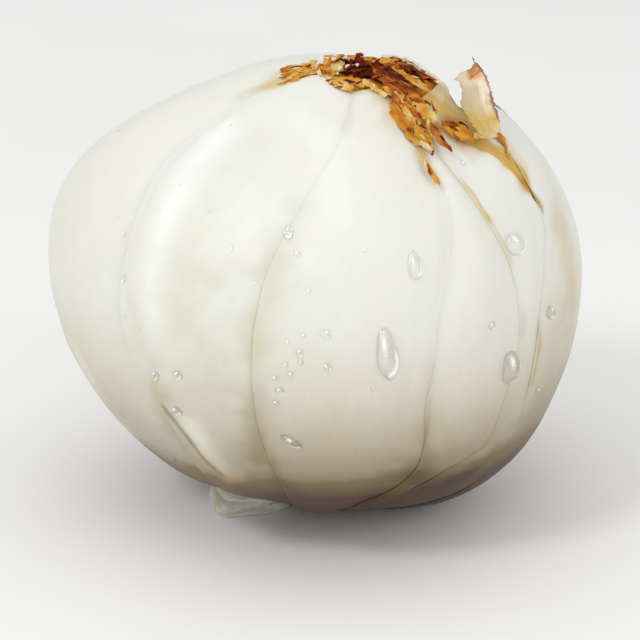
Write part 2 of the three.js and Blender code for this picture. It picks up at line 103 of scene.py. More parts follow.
EDGE = 0.42          # the finished scales have finer edges and closer joints than the CAD ones
GAP = 0.10
SHIFT = np.array([0.3468, 0.3402, 0.0])

sL, cL = np.sin(LEAN * RAD), np.cos(LEAN * RAD)
sT, cT = np.sin(TIP_TILT * RAD), np.cos(TIP_TILT * RAD)
BROAD_X, BROAD_UP, BROAD_THRU = np.array([1.0, 0, 0]), np.array([0, sL, cL]), np.array([0, cL, -sL])
AXIS, SIDE_U = np.array([sT, 0, cT]), np.array([cT, 0, -sT])
MIDDLE = np.array([0, 0, CENTRE_Z])


def ease(t):
    c = np.clip(t, 0, 1)
    return c * c * (3 - 2 * c)


class Curve:
    """Smooth curve without overshoot through the given points."""

    def __init__(self, xs, ys):
        self.x, self.y = np.array(xs, float), np.array(ys, float)
        h = np.diff(self.x)
        d = np.diff(self.y) / h
        m = np.zeros(len(self.x))
        for k in range(1, len(self.x) - 1):
            if d[k - 1] * d[k] > 0:
                w1, w2 = 2 * h[k] + h[k - 1], h[k] + 2 * h[k - 1]
                m[k] = (w1 + w2) / (w1 / d[k - 1] + w2 / d[k])
        m[0], m[-1] = d[0], d[-1]
        self.h, self.m = h, m

    def __call__(self, x):
        x = np.clip(x, self.x[0], self.x[-1])
        k = np.clip(np.searchsorted(self.x, x, side="right") - 1, 0, len(self.h) - 1)
        h = self.h[k]
        t = (x - self.x[k]) / h
        a, b = self.y[k], self.y[k + 1]
        return ((2 * t ** 3 - 3 * t ** 2 + 1) * a + (t ** 3 - 2 * t ** 2 + t) * h * self.m[k]
                + (3 * t ** 2 - 2 * t ** 3) * b + (t ** 3 - t ** 2) * h * self.m[k + 1])


def direction(azimuth, polar):
    t, a = azimuth * RAD, polar * RAD
    x = np.sin(a) * np.cos(t) * SIDE_U[0] + np.cos(a) * AXIS[0]
    y = np.sin(a) * np.sin(t)
    z = np.sin(a) * np.cos(t) * SIDE_U[2] + np.cos(a) * AXIS[2]
    b = ROOT_BEND * RAD * ease((polar - 70) / 110)
    return np.stack([x, y * np.cos(b) + z * np.sin(b), -y * np.sin(b) + z * np.cos(b)], -1)


def body_radius(n, azimuth, polar):
    x, y, z = n @ BROAD_X, n @ BROAD_UP, n @ BROAD_THRU
    p = np.arctan2(y, x)
    r = OUTLINE[0] + 0 * p
    for k in range(1, 8):
        r = r + OUTLINE[2 * k - 1] * np.cos(k * p) + OUTLINE[2 * k] * np.sin(k * p)
    e = 1 / np.sqrt((x * x + y * y) / (r * r) + z * z / BODY_DEPTH ** 2)
    u = (180 - polar) * np.cos(azimuth * RAD) - DIMPLE_AT[0]
    v = (180 - polar) * np.sin(azimuth * RAD) - DIMPLE_AT[1]
    d = u + DIMPLE_AT[0] - HOLLOW_AT[0]
    f = v + DIMPLE_AT[1] - HOLLOW_AT[1]
    return e * (1 - DIMPLE * np.exp(-(u * u + v * v) / DIMPLE_SPREAD ** 2) - HOLLOW * np.exp(-(d * d + f * f) / HOLLOW_SPREAD ** 2))


def place(height, azimuth, polar):
    """Points at a height above the mean surface, in mm (azimuth -90 is the front, polar 0 the tip)."""
    height, azimuth, polar = np.broadcast_arrays(
        np.asarray(height, float), np.asarray(azimuth, float), np.asarray(polar, float))
    n = direction(azimuth, polar)
    w = n * body_radius(n, azimuth, polar)[..., None]
    q = (w @ AXIS)[..., None] * AXIS
    s = (height / BELLY_RADIUS)[..., None]
    return MIDDLE + (1 + s) * (w - q) + (1 + AXIAL_SHARE * s) * q


class Layer:
    """One layer of lapping scales. shape rows: edge height, extra sink of the scale
    below, swell, place of the swell, full thickness."""

    def __init__(self, edges, cover, rims, shape, depth, taper):
        self.n = len(edges)
        self.edges = [Curve(POLAR, e) for e in edges]
        self.covers = [Curve(POLAR, c) for c in cover]
        self.rims = [Curve([p[0] for p in r], [p[1] for p in r]) for r in rims]
        self.shape, self.depth, self.taper = shape, depth, taper

    def left(self, i, polar):
        return self.edges[i % self.n](polar) + 360 * (i // self.n)

    def right(self, i, polar):
        return self.left(i + 1, polar) + self.covers[i % self.n](polar)

    def rim(self, i, share):
        return self.rims[i % self.n](np.clip(share, 0, 1))

    def thickness(self, i, azimuth, polar):
        L, R, N = self.left(i, polar), self.right(i, polar), self.left(i + 1, polar)
        rim, full = self.rim(i, (azimuth - L) / (R - L)), self.shape[i % self.n][4]
        at_rim = 0.85 * ease((polar - rim) / 14) + 0.15 * ease((polar - rim) / 4)
        at_root = 1 - 0.45 * ease((polar - 115) / 45)
        covered = 1 - 0.35 * ease((azimuth - N) / 10)
        return EDGE + (full - EDGE) * ease((azimuth - L) / self.taper) \
            * ease((R - azimuth) / self.taper) * at_rim * at_root * covered

    def back(self, i, azimuth, polar, nested=0):
        L, N = self.left(i, polar), self.left(i + 1, polar)
        a, _, swell, at, _ = self.shape[i % self.n]
        nxt = self.shape[(i + 1) % self.n]
        x = (azimuth - L) / (N - L)
        c = np.clip(x, 0, 1)
        low = nxt[0] - EDGE - GAP - nxt[1]
        m = at / (1 - at) if at >= 0.5 else (1 - at) / at
        bump = (c ** m * (1 - c) if at >= 0.5 else c * (1 - c) ** m) * (1 + m) ** (1 + m) / m ** m
        belly = np.maximum(0, np.sin(polar * RAD)) ** 0.8
        own = self.depth + a + (low - a) * c + swell * bump * belly
        if nested >= 4 or not np.any(x > 1):
            return own
        share = (azimuth - N) / (self.right(i + 1, polar) - N)
        under = self.back(i + 1, azimuth, polar, nested + 1) - self.thickness(i + 1, azimuth, polar) - GAP
        under = under - nxt[1] + (EDGE + GAP + nxt[1]) * ease((self.rim(i + 1, share) - polar - 3.5) / 8)
        return np.where(x <= 1, own, under)


def make_inner(count, start, depth, full, swell, cover, tips):
    turn = Curve([10, 90, 130, 175], [0, 0, 12, 30])
    edges = [[start + 360 / count * i + float(turn(a)) for a in POLAR] for i in range(count)]
    rims = [[[0, t + 9], [0.15, t + 3], [0.5, t], [0.85, t + 3], [1, t + 9]] for t in tips]
    return Layer(edges, [[cover] * len(POLAR)] * count, rims,
                 [[0.5, 0.1, swell, 0.5, full]] * count, depth, 18)


# ---------------------------------------------------------------- mesh helpers
def waves(points, size, seed, count=28):
    """Smooth random field, roughly between -1 and 1, with features of the given size."""
    rng = np.random.default_rng(seed)
    k = rng.normal(size=(count, points.shape[-1]))
    k /= np.linalg.norm(k, axis=1, keepdims=True)
    k *= rng.uniform(0.6, 1.7, (count, 1)) * 2 * np.pi / size / 1.6
    ph = rng.uniform(0, 2 * np.pi, count)
    return np.sin(points @ k.T + ph).sum(-1) * np.sqrt(1.0 / count)


def quads(ns, nt, start=0, flip=False):
    a, b = np.meshgrid(np.arange(ns - 1), np.arange(nt - 1), indexing="ij")
    o = (start + a * nt + b).ravel()
    q = np.stack([o, o + nt, o + nt + 1, o + 1], 1)
    return q[:, ::-1] if flip else q


class Heap:
    """Collects vertices, faces and per-vertex values of one piece."""

    def __init__(self):
        self.v, self.f, self.a, self.n = [], [], {}, 0

    def add(self, points, faces, **values):
        points = np.asarray(points, float).reshape(-1, 3)
        self.v.append(points)
        for f in faces:
            self.f.append(np.asarray(f) + self.n)
        for key, val in values.items():
            val = np.asarray(val, float)
            size = 1 if val.ndim == 0 or val.size == len(points) else val.size // len(points)
            val = np.broadcast_to(val, (len(points),)) if size == 1 and val.ndim == 0 else val.reshape(len(points), size) if size > 1 else val.reshape(-1)
            self.a.setdefault(key, []).append((self.n, val))
        self.n += len(points)

    def piece(self, name, material, replaces=()):
        v = (np.concatenate(self.v) + SHIFT) / 1000
        faces = np.concatenate(self.f)
        # outward winding, told by the volume
        p = [v[faces[:, k]] for k in range(4)]
        vol = (np.cross(p[1], p[2]) * p[0]).sum() + (np.cross(p[2], p[3]) * p[0]).sum()
        if vol < 0:
            faces = faces[:, ::-1]
        mesh = bpy.data.meshes.new(name)
        mesh.vertices.add(len(v))
        mesh.vertices.foreach_set("co", v.astype(np.float32).ravel())
        mesh.loops.add(faces.size)
        mesh.loops.foreach_set("vertex_index", faces.astype(np.int32).ravel())
        mesh.polygons.add(len(faces))
        mesh.polygons.foreach_set("loop_start", np.arange(0, faces.size, 4, dtype=np.int32))
        mesh.update(calc_edges=True)
        for key, parts in self.a.items():
            width = 1 if parts[0][1].ndim == 1 else parts[0][1].shape[1]
            full = np.zeros((self.n, width), np.float32)
            for s, val in parts:
                full[s:s + len(val)] = val.reshape(len(val), width)
            kind = {1: "FLOAT", 3: "FLOAT_VECTOR", 4: "FLOAT_COLOR"}[width]
            field = {1: "value", 3: "vector", 4: "color"}[width]
            mesh.attributes.new(key, kind, "POINT").data.foreach_set(field, full.ravel())
        mesh.polygons.foreach_set("use_smooth", np.ones(len(faces), bool))
        mesh.validate()
        if "lip" in self.a:
            # crisp edge along the border, so that the faces shade cleanly up to it
            lip = np.zeros(len(mesh.vertices), np.float32)
            mesh.attributes["lip"].data.foreach_get("value", lip)
            ends = np.zeros(2 * len(mesh.edges), np.int32)
            mesh.edges.foreach_get("vertices", ends)
            sharp = (lip[ends.reshape(-1, 2)] > 0.5).all(axis=1)
            mesh.attributes.new("sharp_edge", "BOOLEAN", "EDGE").data.foreach_set("value", sharp)
        mesh.materials.append(material)
        obj = bpy.data.objects.new(name, mesh)
        bpy.context.scene.collection.objects.link(obj)
        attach(obj, "root")
        if replaces:
            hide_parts(*replaces)
        return obj


def closed_grid(heap, back, face, **values):
    """Closed body from a grid of back points and one of face points that share their border."""
    ns, nt = back.shape[:2]
    n = ns * nt
    inner = np.arange(n).reshape(ns, nt).copy()
    inside = np.zeros((ns, nt), bool)
    inside[1:-1, 1:-1] = True
    inner[inside] = n + np.arange(inside.sum())
    pts = np.concatenate([back.reshape(-1, 3), face[inside]])
    vals = {}
    for k, val in values.items():
        val = np.asarray(val, float)
        flat = val.reshape(n, -1) if val.ndim > 2 else val.reshape(n)
        vals[k] = np.concatenate([flat, val[inside]])
    vals["lip"] = np.concatenate([(~inside).ravel(), np.zeros(inside.sum())]).astype(float)
    a = quads(ns, nt)
    i = inner
    b = np.stack([i[:-1, :-1].ravel(), i[:-1, 1:].ravel(), i[1:, 1:].ravel(), i[1:, :-1].ravel()], 1)
    heap.add(pts, [a, b], **vals)


def two_sided(heap, back, face, **values):
    """Closed body from two full grids with walls between their borders."""
    ns, nt = back.shape[:2]
    n = ns * nt
    pts = np.concatenate([back.reshape(-1, 3), face.reshape(-1, 3)])
    vals = {}
    for k, val in values.items():
        val = np.asarray(val, float)
        flat = val.reshape(n, -1) if val.ndim > 2 else val.reshape(n)
        vals[k] = np.concatenate([flat, flat])
    ring = np.concatenate([np.arange(ns) * nt, (ns - 1) * nt + np.arange(1, nt),
                           np.arange(ns - 2, -1, -1) * nt + nt - 1, np.arange(nt - 2, 0, -1)])
    nxt = np.roll(ring, -1)
    vals["lip"] = np.zeros(2 * n)
    vals["lip"][ring] = 1.0
    wall = np.stack([ring, ring + n, nxt + n, nxt], 1)
    heap.add(pts, [quads(ns, nt), quads(ns, nt, n, True), wall], **vals)


def unit(v):
    return v / np.maximum(1e-9, np.linalg.norm(v, axis=-1, keepdims=True))


# ---------------------------------------------------------------- material helpers
def new_material(name):
    m = bpy.data.materials.new(name)
    m.use_nodes = True
    nt = m.node_tree
    nt.nodes.clear()
    out = nt.nodes.new("ShaderNodeOutputMaterial")
    bsdf = nt.nodes.new("ShaderNodeBsdfPrincipled")
    nt.links.new(bsdf.outputs[0], out.inputs["Surface"])
    return m, Nodes(nt, bsdf)


class Nodes:
    def __init__(self, tree, bsdf):
        self.t, self.bsdf = tree, bsdf

    def new(self, kind, **props):
        n = self.t.nodes.new(kind)
        for k, v in props.items():
            setattr(n, k, v)
        return n

    def link(self, a, b):
        self.t.links.new(a, b)

    def put(self, socket, value):
        if isinstance(value, (int, float)):
            socket.default_value = value
        elif isinstance(value, (tuple, list)):
            socket.default_value = tuple(value) + ((1.0,) if len(value) == 3 and len(socket.default_value) == 4 else ())
        else:
            self.link(value, socket)

    def attr(self, name, out="Fac"):
        return self.new("ShaderNodeAttribute", attribute_name=name).outputs[out]

    def split(self, vector):
        n = self.new("ShaderNodeSeparateXYZ")
        self.link(vector, n.inputs[0])
        return n.outputs

    def math(self, op, a, b=0.0, c=0.0, clamp=False):
        n = self.new("ShaderNodeMath", operation=op, use_clamp=clamp)
        for s, v in zip(n.inputs, (a, b, c)):
            self.put(s, v)
        return n.outputs[0]

    def map(self, value, lo, hi, a=0.0, b=1.0, smooth=True):
        n = self.new("ShaderNodeMapRange", interpolation_type="SMOOTHSTEP" if smooth else "LINEAR")
        self.put(n.inputs["Value"], value)
        for s, v in zip(("From Min", "From Max", "To Min", "To Max"), (lo, hi, a, b)):
            n.inputs[s].default_value = v
        return n.outputs["Result"]

    def mix(self, factor, a, b, blend="MIX"):
        n = self.new("ShaderNodeMix", data_type="RGBA", blend_type=blend)
        self.put(n.inputs[0], factor)
        self.put(n.inputs[6], a)
        self.put(n.inputs[7], b)
        return n.outputs[2]

    def scale(self, vector, s):
        n = self.new("ShaderNodeVectorMath", operation="MULTIPLY")
        self.link(vector, n.inputs[0])
        n.inputs[1].default_value = s
        return n.outputs[0]

    def noise(self, vector, scale, detail=3.0, rough=0.55, distort=0.0, out="Fac"):
        n = self.new("ShaderNodeTexNoise")
        self.link(vector, n.inputs["Vector"])
        n.inputs["Scale"].default_value = scale
        n.inputs["Detail"].default_value = detail
        n.inputs["Roughness"].default_value = rough
        n.inputs["Distortion"].default_value = distort
        return n.outputs[out]

    def ramp(self, value, stops, mode="LINEAR"):
        n = self.new("ShaderNodeValToRGB")
        n.color_ramp.interpolation = mode
        e = n.color_ramp.elements
        while len(e) < len(stops):
            e.new(0.5)
        for el, (pos, col) in zip(e, stops):
            el.position = pos
            el.color = (*col, 1)
        self.put(n.inputs[0], value)
        return n.outputs[0]

    def bump(self, height, strength, distance, normal=None):
        n = self.new("ShaderNodeBump")
        n.inputs["Strength"].default_value = strength
        n.inputs["Distance"].default_value = distance
        self.put(n.inputs["Height"], height)
        if normal is not None:
            self.link(normal, n.inputs["Normal"])
        return n.outputs[0]


# ---------------------------------------------------------------- materials
def flesh_material(name, white, cream, subsurface):
    """Waxy scale flesh. The mesh carries: grain (across, along, seed in mm), stain
    (tan, ochre, brown, and cool, a painted blue-grey shade), seam (mm to the next scale's
    edge), edge (mm from its own edge), rim (mm from its upper rim), line (strength of the dark
    joint), dry, olive, pale (a painted highlight) and the amount of painted shade."""
    m, n = new_material(name)
    grain = n.attr("grain", "Vector")
    where = n.new("ShaderNodeTexCoord").outputs["Object"]
    stain = n.new("ShaderNodeAttribute", attribute_name="stain")
    sep = n.new("ShaderNodeSeparateColor")
    n.link(stain.outputs["Color"], sep.inputs[0])
    tan, ochre, brown = sep.outputs
    cool = stain.outputs["Alpha"]
    seam, edge, rim = n.attr("seam"), n.attr("edge"), n.attr("rim")
    line, dry = n.attr("line"), n.attr("dry")

    cloud = n.noise(where, 46, 2.5, 0.5)
    patch = n.noise(where, 130, 4, 0.6)
    veins = n.noise(n.scale(grain, (0.95, 0.03, 1)), 1.0, 2.0, 0.5, 0.2)
    fine = n.noise(n.scale(grain, (3.6, 0.09, 1)), 1.0, 2.0, 0.5)
    colour = n.mix(n.map(cloud, 0.33, 0.68), white, cream)
    colour = n.mix(n.math("MULTIPLY", n.map(veins, 0.50, 0.72), 0.16), colour, (0.76, 0.76, 0.66))
    colour = n.mix(n.math("MULTIPLY", n.map(fine, 0.55, 0.78), 0.07), colour, (0.80, 0.755, 0.655))
    colour = n.mix(n.math("MULTIPLY", n.map(n.noise(where, 75, 2, 0.5), 0.55, 0.75), 0.12), colour, (0.83, 0.77, 0.71))

    # painted highlight: pale strips where a fold or an edge catches the lamp
    colour = n.mix(n.attr("pale"), colour, (0.90, 0.905, 0.885))

    def worn(mask, lo=0.25, hi=0.8, most=1.0):
        return n.math("MULTIPLY", mask, n.map(patch, lo, hi, 0.6 * most, most), clamp=True)

    streak = n.noise(n.scale(grain, (2.4, 0.22, 1)), 1.0, 3.0, 0.6, 0.3)
    colour = n.mix(worn(tan), colour, (0.52, 0.43, 0.27))
    colour = n.mix(worn(n.attr("olive")), colour, (0.50, 0.49, 0.27))
    # painted shade: the cool mark is a blue-grey shade on the underside
    colour = n.mix(worn(cool), colour, (0.25, 0.30, 0.285))
    yellow = n.mix(n.map(streak, 0.35, 0.62), (0.58, 0.32, 0.035), (0.68, 0.46, 0.09))
    colour = n.mix(worn(ochre, 0.2, 0.6, 1.08), colour, yellow)
    colour = n.mix(worn(brown), colour, (0.21, 0.085, 0.035))
    # the joint with the next scale: a soft dull valley with a thin darker line in it
    soft = n.math("MULTIPLY", n.map(seam, 0.0, 1.9, 1.0, 0.0), n.math("MULTIPLY", line, 0.45))
    colour = n.mix(soft, colour, (0.58, 0.54, 0.34))
    thin = n.math("MULTIPLY", n.map(seam, 0.03, 0.30, 1.0, 0.0), n.math("MULTIPLY", line, 0.8), clamp=True)
    colour = n.mix(thin, colour, (0.44, 0.33, 0.15))
    # rims that dry out towards the mouth
    ragged = n.math("ADD", rim, n.math("MULTIPLY", n.math("SUBTRACT", patch, 0.5), 2.6))
    colour = n.mix(n.math("MULTIPLY", n.map(ragged, 0.2, 2.2, 1.0, 0.0), n.math("MULTIPLY", dry, 0.8), clamp=True), colour, (0.72, 0.60, 0.30))
    colour = n.mix(n.math("MULTIPLY", n.map(ragged, -0.1, 0.55, 1.0, 0.0), dry, clamp=True), colour, (0.42, 0.20, 0.05))
    # painted shade, warm-tinted: darker low down and at the root end, in two stages
    painted_shade_amount = n.math("MULTIPLY", n.attr("grime"), n.map(patch, 0.25, 0.7, 1.04, 0.92))
    colour = n.mix(n.math("MINIMUM", painted_shade_amount, 1.0, clamp=True), colour, (0.31, 0.235, 0.135), "MULTIPLY")
    colour = n.mix(n.math("SUBTRACT", painted_shade_amount, 1.0, clamp=True), colour, (0.30, 0.18, 0.10), "MULTIPLY")
    n.link(colour, n.bsdf.inputs["Base Color"])
    n.link(n.map(patch, 0.3, 0.7, 0.36, 0.46), n.bsdf.inputs["Roughness"])
    if subsurface:
        n.bsdf.inputs["Subsurface Weight"].default_value = subsurface
        n.bsdf.inputs["Subsurface Radius"].default_value = (1.0, 0.82, 0.52)
        n.bsdf.inputs["Subsurface Scale"].default_value = 0.0002
    n.bsdf.inputs["Specular IOR Level"].default_value = 0.42
    height = n.math("ADD", n.math("MULTIPLY", veins, 0.8), n.math("MULTIPLY", fine, 0.3))
    height = n.math("ADD", height, n.math("MULTIPLY", n.noise(where, 900, 3, 0.6), 0.12))
    n.link(n.bump(height, 0.10, 0.0005), n.bsdf.inputs["Normal"])
    return m


DRY_TONES = [(0.0, (0.085, 0.009, 0.002)), (0.14, (0.16, 0.018, 0.003)), (0.28, (0.31, 0.062, 0.007)),
             (0.42, (0.52, 0.16, 0.013)), (0.55, (0.65, 0.28, 0.030)), (0.68, (0.72, 0.40, 0.075)),
             (0.85, (0.80, 0.59, 0.22)), (0.96, (0.86, 0.75, 0.50)), (1.0, (0.90, 0.85, 0.72))]


def dry_material(name, subsurface=0.12):
    """Withered tissue. The mesh carries tone (0 dark brown to 1 whitish) and grain in mm."""
    m, n = new_material(name)
    grain = n.attr("grain", "Vector")
    where = n.new("ShaderNodeTexCoord").outputs["Object"]
    tone = n.attr("tone")
    fibre = n.noise(n.scale(grain, (3.6, 0.30, 1)), 1.0, 3.0, 0.65, 0.5)
    spot = n.noise(where, 700, 4, 0.65)
    wide = n.noise(where, 300, 2, 0.5)
    t = n.math("ADD", tone, n.math("MULTIPLY", n.math("SUBTRACT", fibre, 0.5), 0.46))
    t = n.math("ADD", t, n.math("MULTIPLY", n.math("SUBTRACT", spot, 0.5), 0.24))
    t = n.math("ADD", t, n.math("MULTIPLY", n.math("SUBTRACT", wide, 0.5), 0.26), clamp=True)
    n.link(n.ramp(t, DRY_TONES), n.bsdf.inputs["Base Color"])
    n.link(n.map(spot, 0.3, 0.7, 0.55, 0.78), n.bsdf.inputs["Roughness"])
    n.bsdf.inputs["Specular IOR Level"].default_value = 0.10
    n.bsdf.inputs["Subsurface Weight"].default_value = subsurface
    n.bsdf.inputs["Subsurface Radius"].default_value = (1.0, 0.45, 0.18)
    n.bsdf.inputs["Subsurface Scale"].default_value = 0.0007
    h = n.math("ADD", n.math("MULTIPLY", fibre, 0.8), n.math("MULTIPLY", spot, 0.5))
    n.link(n.bump(h, 0.6, 0.0006), n.bsdf.inputs["Normal"])
    return m


def flap_material(name):
    """Papery torn tongue. The mesh carries grain in mm and stain (orange-red, ochre,
    brown, greenish grey)."""
    m, n = new_material(name)
    grain = n.attr("grain", "Vector")
    where = n.new("ShaderNodeTexCoord").outputs["Object"]
    stain = n.new("ShaderNodeAttribute", attribute_name="stain")
    sep = n.new("ShaderNodeSeparateColor")
    n.link(stain.outputs["Color"], sep.inputs[0])
    red, ochre, brown = sep.outputs
    fibre = n.noise(n.scale(grain, (2.6, 0.16, 1)), 1.0, 3.0, 0.6, 0.2)
    patch = n.noise(where, 330, 4, 0.6)
    c = n.ramp(fibre, [(0.32, (0.78, 0.67, 0.47)), (0.46, (0.86, 0.77, 0.58)), (0.62, (0.91, 0.86, 0.72))])
    worn = n.map(patch, 0.3, 0.65, 0.55, 1.0)
    c = n.mix(n.math("MULTIPLY", stain.outputs["Alpha"], n.map(patch, 0.3, 0.65, 0.8, 1.0), clamp=True), c, (0.55, 0.47, 0.31))
    c = n.mix(n.math("MULTIPLY", ochre, worn, clamp=True), c, (0.60, 0.42, 0.10))
    hot = n.mix(n.map(fibre, 0.4, 0.6), (0.42, 0.10, 0.015), (0.80, 0.34, 0.06))
    c = n.mix(n.math("MULTIPLY", red, worn, clamp=True), c, hot)
    c = n.mix(n.math("MULTIPLY", brown, n.map(patch, 0.3, 0.6, 0.7, 1.1), clamp=True), c, (0.22, 0.085, 0.03))
    n.link(c, n.bsdf.inputs["Base Color"])
    n.link(n.map(patch, 0.3, 0.7, 0.40, 0.6), n.bsdf.inputs["Roughness"])
    n.bsdf.inputs["Subsurface Weight"].default_value = 0.2
    n.bsdf.inputs["Subsurface Radius"].default_value = (1.0, 0.7, 0.4)
    n.bsdf.inputs["Subsurface Scale"].default_value = 0.0008
    h = n.math("ADD", n.math("MULTIPLY", fibre, 0.9), n.math("MULTIPLY", patch, 0.35))
    n.link(n.bump(h, 0.28, 0.0005), n.bsdf.inputs["Normal"])
    return m


def plate_material(name):
    """Cut and weathered root plate: pale fibres in layers, painted shade in the grooves, stains."""
    m, n = new_material(name)
    grain = n.attr("grain", "Vector")
    where = n.new("ShaderNodeTexCoord").outputs["Object"]
    tone, groove = n.attr("tone"), n.attr("groove")
    fibre = n.noise(n.scale(grain, (0.55, 3.4, 1)), 1.0, 4.0, 0.65, 0.6)
    blot = n.noise(where, 260, 4, 0.6)
    grit = n.noise(where, 1500, 3, 0.6)
    c = n.ramp(fibre, [(0.30, (0.60, 0.54, 0.42)), (0.40, (0.86, 0.82, 0.70)), (0.50, (0.97, 0.95, 0.88)), (0.8, (0.98, 0.97, 0.92))])
    c = n.mix(n.math("MULTIPLY", n.map(blot, 0.55, 0.75), 0.35), c, (0.78, 0.66, 0.42))
    # painted shade in the grooves between the layers
    c = n.mix(n.math("MULTIPLY", groove, 0.45, clamp=True), c, (0.45, 0.40, 0.30))
    c = n.mix(n.math("MULTIPLY", tone, n.map(blot, 0.3, 0.6), clamp=True), c, (0.62, 0.60, 0.24))
    n.link(c, n.bsdf.inputs["Base Color"])
    n.link(n.map(grit, 0.3, 0.7, 0.6, 0.85), n.bsdf.inputs["Roughness"])
    h = n.math("ADD", n.math("MULTIPLY", fibre, 1.0), n.math("MULTIPLY", grit, 0.4))
    n.link(n.bump(h, 0.8, 0.0007), n.bsdf.inputs["Normal"])
    return m


def water_material():
    m, n = new_material("water")
    # ring: a painted dark rim of a drop; the other mark: a painted highlight and painted gathered light, which turn the
    # water white
    ring, glow = n.attr("ring"), n.attr("glow")
    c = n.mix(ring, (1, 1, 1), (0.45, 0.46, 0.44))
    c = n.mix(glow, c, (1, 1, 1))
    n.link(c, n.bsdf.inputs["Base Color"])
    n.link(n.math("SUBTRACT", 1.0, n.math("MULTIPLY", glow, 0.96), clamp=True), n.bsdf.inputs["Transmission Weight"])
    n.bsdf.inputs["IOR"].default_value = 1.333
    where = n.new("ShaderNodeTexCoord").outputs["Object"]
    n.link(n.map(n.noise(where, 300, 2), 0.3, 0.7, 0.0, 0.03), n.bsdf.inputs["Roughness"])
    n.link(n.bump(n.noise(where, 420, 1.5), 0.15, 0.0003), n.bsdf.inputs["Normal"])
    # lamps shine through the drops
    clear = n.new("ShaderNodeBsdfTransparent")
    clear.inputs[0].default_value = (0.80, 0.81, 0.81, 1)
    mix = n.new("ShaderNodeMixShader")
    n.link(n.new("ShaderNodeLightPath").outputs["Is Shadow Ray"], mix.inputs[0])
    n.link(n.bsdf.outputs[0], mix.inputs[1])
    n.link(clear.outputs[0], mix.inputs[2])
    out = [x for x in n.t.nodes if x.type == "OUTPUT_MATERIAL"][0]
    n.link(mix.outputs[0], out.inputs["Surface"])
    return m


def floor_material():
    m, n = new_material("pale_floor")
    where = n.new("ShaderNodeTexCoord").outputs["Object"]
    c = n.mix(n.map(n.noise(where, 9, 3), 0.3, 0.7), FLOOR_A, FLOOR_B)
    n.link(c, n.bsdf.inputs["Base Color"])
    n.bsdf.inputs["Roughness"].default_value = 0.75
    n.bsdf.inputs["Specular IOR Level"].default_value = 0.2
    return m


FLOOR_A, FLOOR_B = (0.90, 0.90, 0.89), (0.93, 0.93, 0.92)
FLESH = flesh_material("scale_flesh_fine", (0.83, 0.835, 0.785), (0.81, 0.805, 0.73), 0.10)
INNER = flesh_material("inner_flesh_fine", (0.82, 0.78, 0.58), (0.78, 0.69, 0.42), 0.12)
DRY = dry_material("dry_tissue_fine")
FLAP_SKIN = flap_material("dry_flap_fine")
PLATE = plate_material("root_plate_fine")
WATER = water_material()


# ---------------------------------------------------------------- outer scales
# how nearly level the joint at each scale's left edge is (1 is level), by polar angle
SOFT = [
    [[20, 45, 60, 90, 150], [1, 1, .7, .3, .2]],
    [[20, 60, 80, 100, 150], [.85, .7, .45, .15, 0]],
    [[20, 40, 60, 80, 110, 130], [1, 1, .95, .7, .4, .25]],
    [[20, 75, 90, 105, 120], [1, 1, .95, .85, .8]],
    [[30, 36, 60, 64, 108, 118], [1, .97, .97, 1, 1, .85]],
    [[30, 66, 72, 84, 92, 110, 122], [1, 1, .95, .95, 1, 1, .8]],
    [[30, 60, 90, 130], [1, 1, .7, .4]],
    [[30, 90, 130], [.5, .3, .2]],
    [[30, 90, 130], [.4, .3, .2]],
    [[30, 90, 130], [.5, .3, .2]],
]
SOFT_RIM = [1, .8, .6, .9, .85, .95, .95, .6, .6, .9]


class FineLayer(Layer):
    """The outer layer with joints that are level where the scales have grown together."""

    def __init__(self, *parts):
        super().__init__(*parts)
        self.soft = [Curve(*s) for s in SOFT]

    def softness(self, i, polar):
        return self.soft[i % self.n](polar)

    def level(self, i, polar):
        """Heights of a scale's left edge and of the scale below, just beside it."""
        a, sink = self.shape[i % self.n][0], self.shape[i % self.n][1]
        s = self.softness(i, polar)
        top = a - 0.5 * s * (EDGE + GAP + sink)
        return top, top - EDGE * (1 - 0.98 * s) - GAP * (1 - 0.93 * s) - sink * (1 - s)

    def thickness(self, i, azimuth, polar):
        L, R, N = self.left(i, polar), self.right(i, polar), self.left(i + 1, polar)
        rim, full = self.rim(i, (azimuth - L) / (R - L)), self.shape[i % self.n][4]
        edge = EDGE * (1 - 0.98 * self.softness(i, polar) * (1 - ease((azimuth - L) / 9)))
        edge = edge * (1 - 0.8 * SOFT_RIM[i % self.n] * (1 - ease((polar - rim) / 6)))
        at_rim = 0.85 * ease((polar - rim) / 14) + 0.15 * ease((polar - rim) / 4)
        at_root = 1 - 0.45 * ease((polar - 115) / 45)
        covered = 1 - 0.35 * ease((azimuth - N) / 10)
        return edge + (full - edge) * ease((azimuth - L) / self.taper) \
            * ease((R - azimuth) / self.taper) * at_rim * at_root * covered

    def back(self, i, azimuth, polar, nested=0):
        L, N = self.left(i, polar), self.left(i + 1, polar)
        _, _, swell, at, _ = self.shape[i % self.n]
        x = (azimuth - L) / (N - L)
        c = np.clip(x, 0, 1)
        here, there = self.softness(i, polar), self.softness(i + 1, polar)
        top, low = self.level(i, polar)[0], self.level(i + 1, polar)[1]
        m = at / (1 - at) if at >= 0.5 else (1 - at) / at
        bump = (c ** m * (1 - c) if at >= 0.5 else c * (1 - c) ** m) * (1 + m) ** (1 + m) / m ** m
        w = here * (1 - c) + there * c
        belly = np.maximum(0, np.sin(polar * RAD)) ** 0.8
        own = self.depth + top + (low - top) * (c + (ease(c) - c) * w) + swell * bump ** (1 + 0.8 * w) * belly
        if nested >= 4 or not np.any(x > 1):
            return own
        share = (azimuth - N) / (self.right(i + 1, polar) - N)
        sink = GAP * (1 - 0.93 * there) + self.shape[(i + 1) % self.n][1] * (1 - there)
        edge = EDGE * (1 - 0.8 * SOFT_RIM[(i + 1) % self.n])
        under = self.back(i + 1, azimuth, polar, nested + 1) - self.thickness(i + 1, azimuth, polar)
        under = under - sink + (0.7 * edge + sink) * ease((self.rim(i + 1, share) - polar - 2.5) / 8)
        return np.where(x <= 1, own, under)


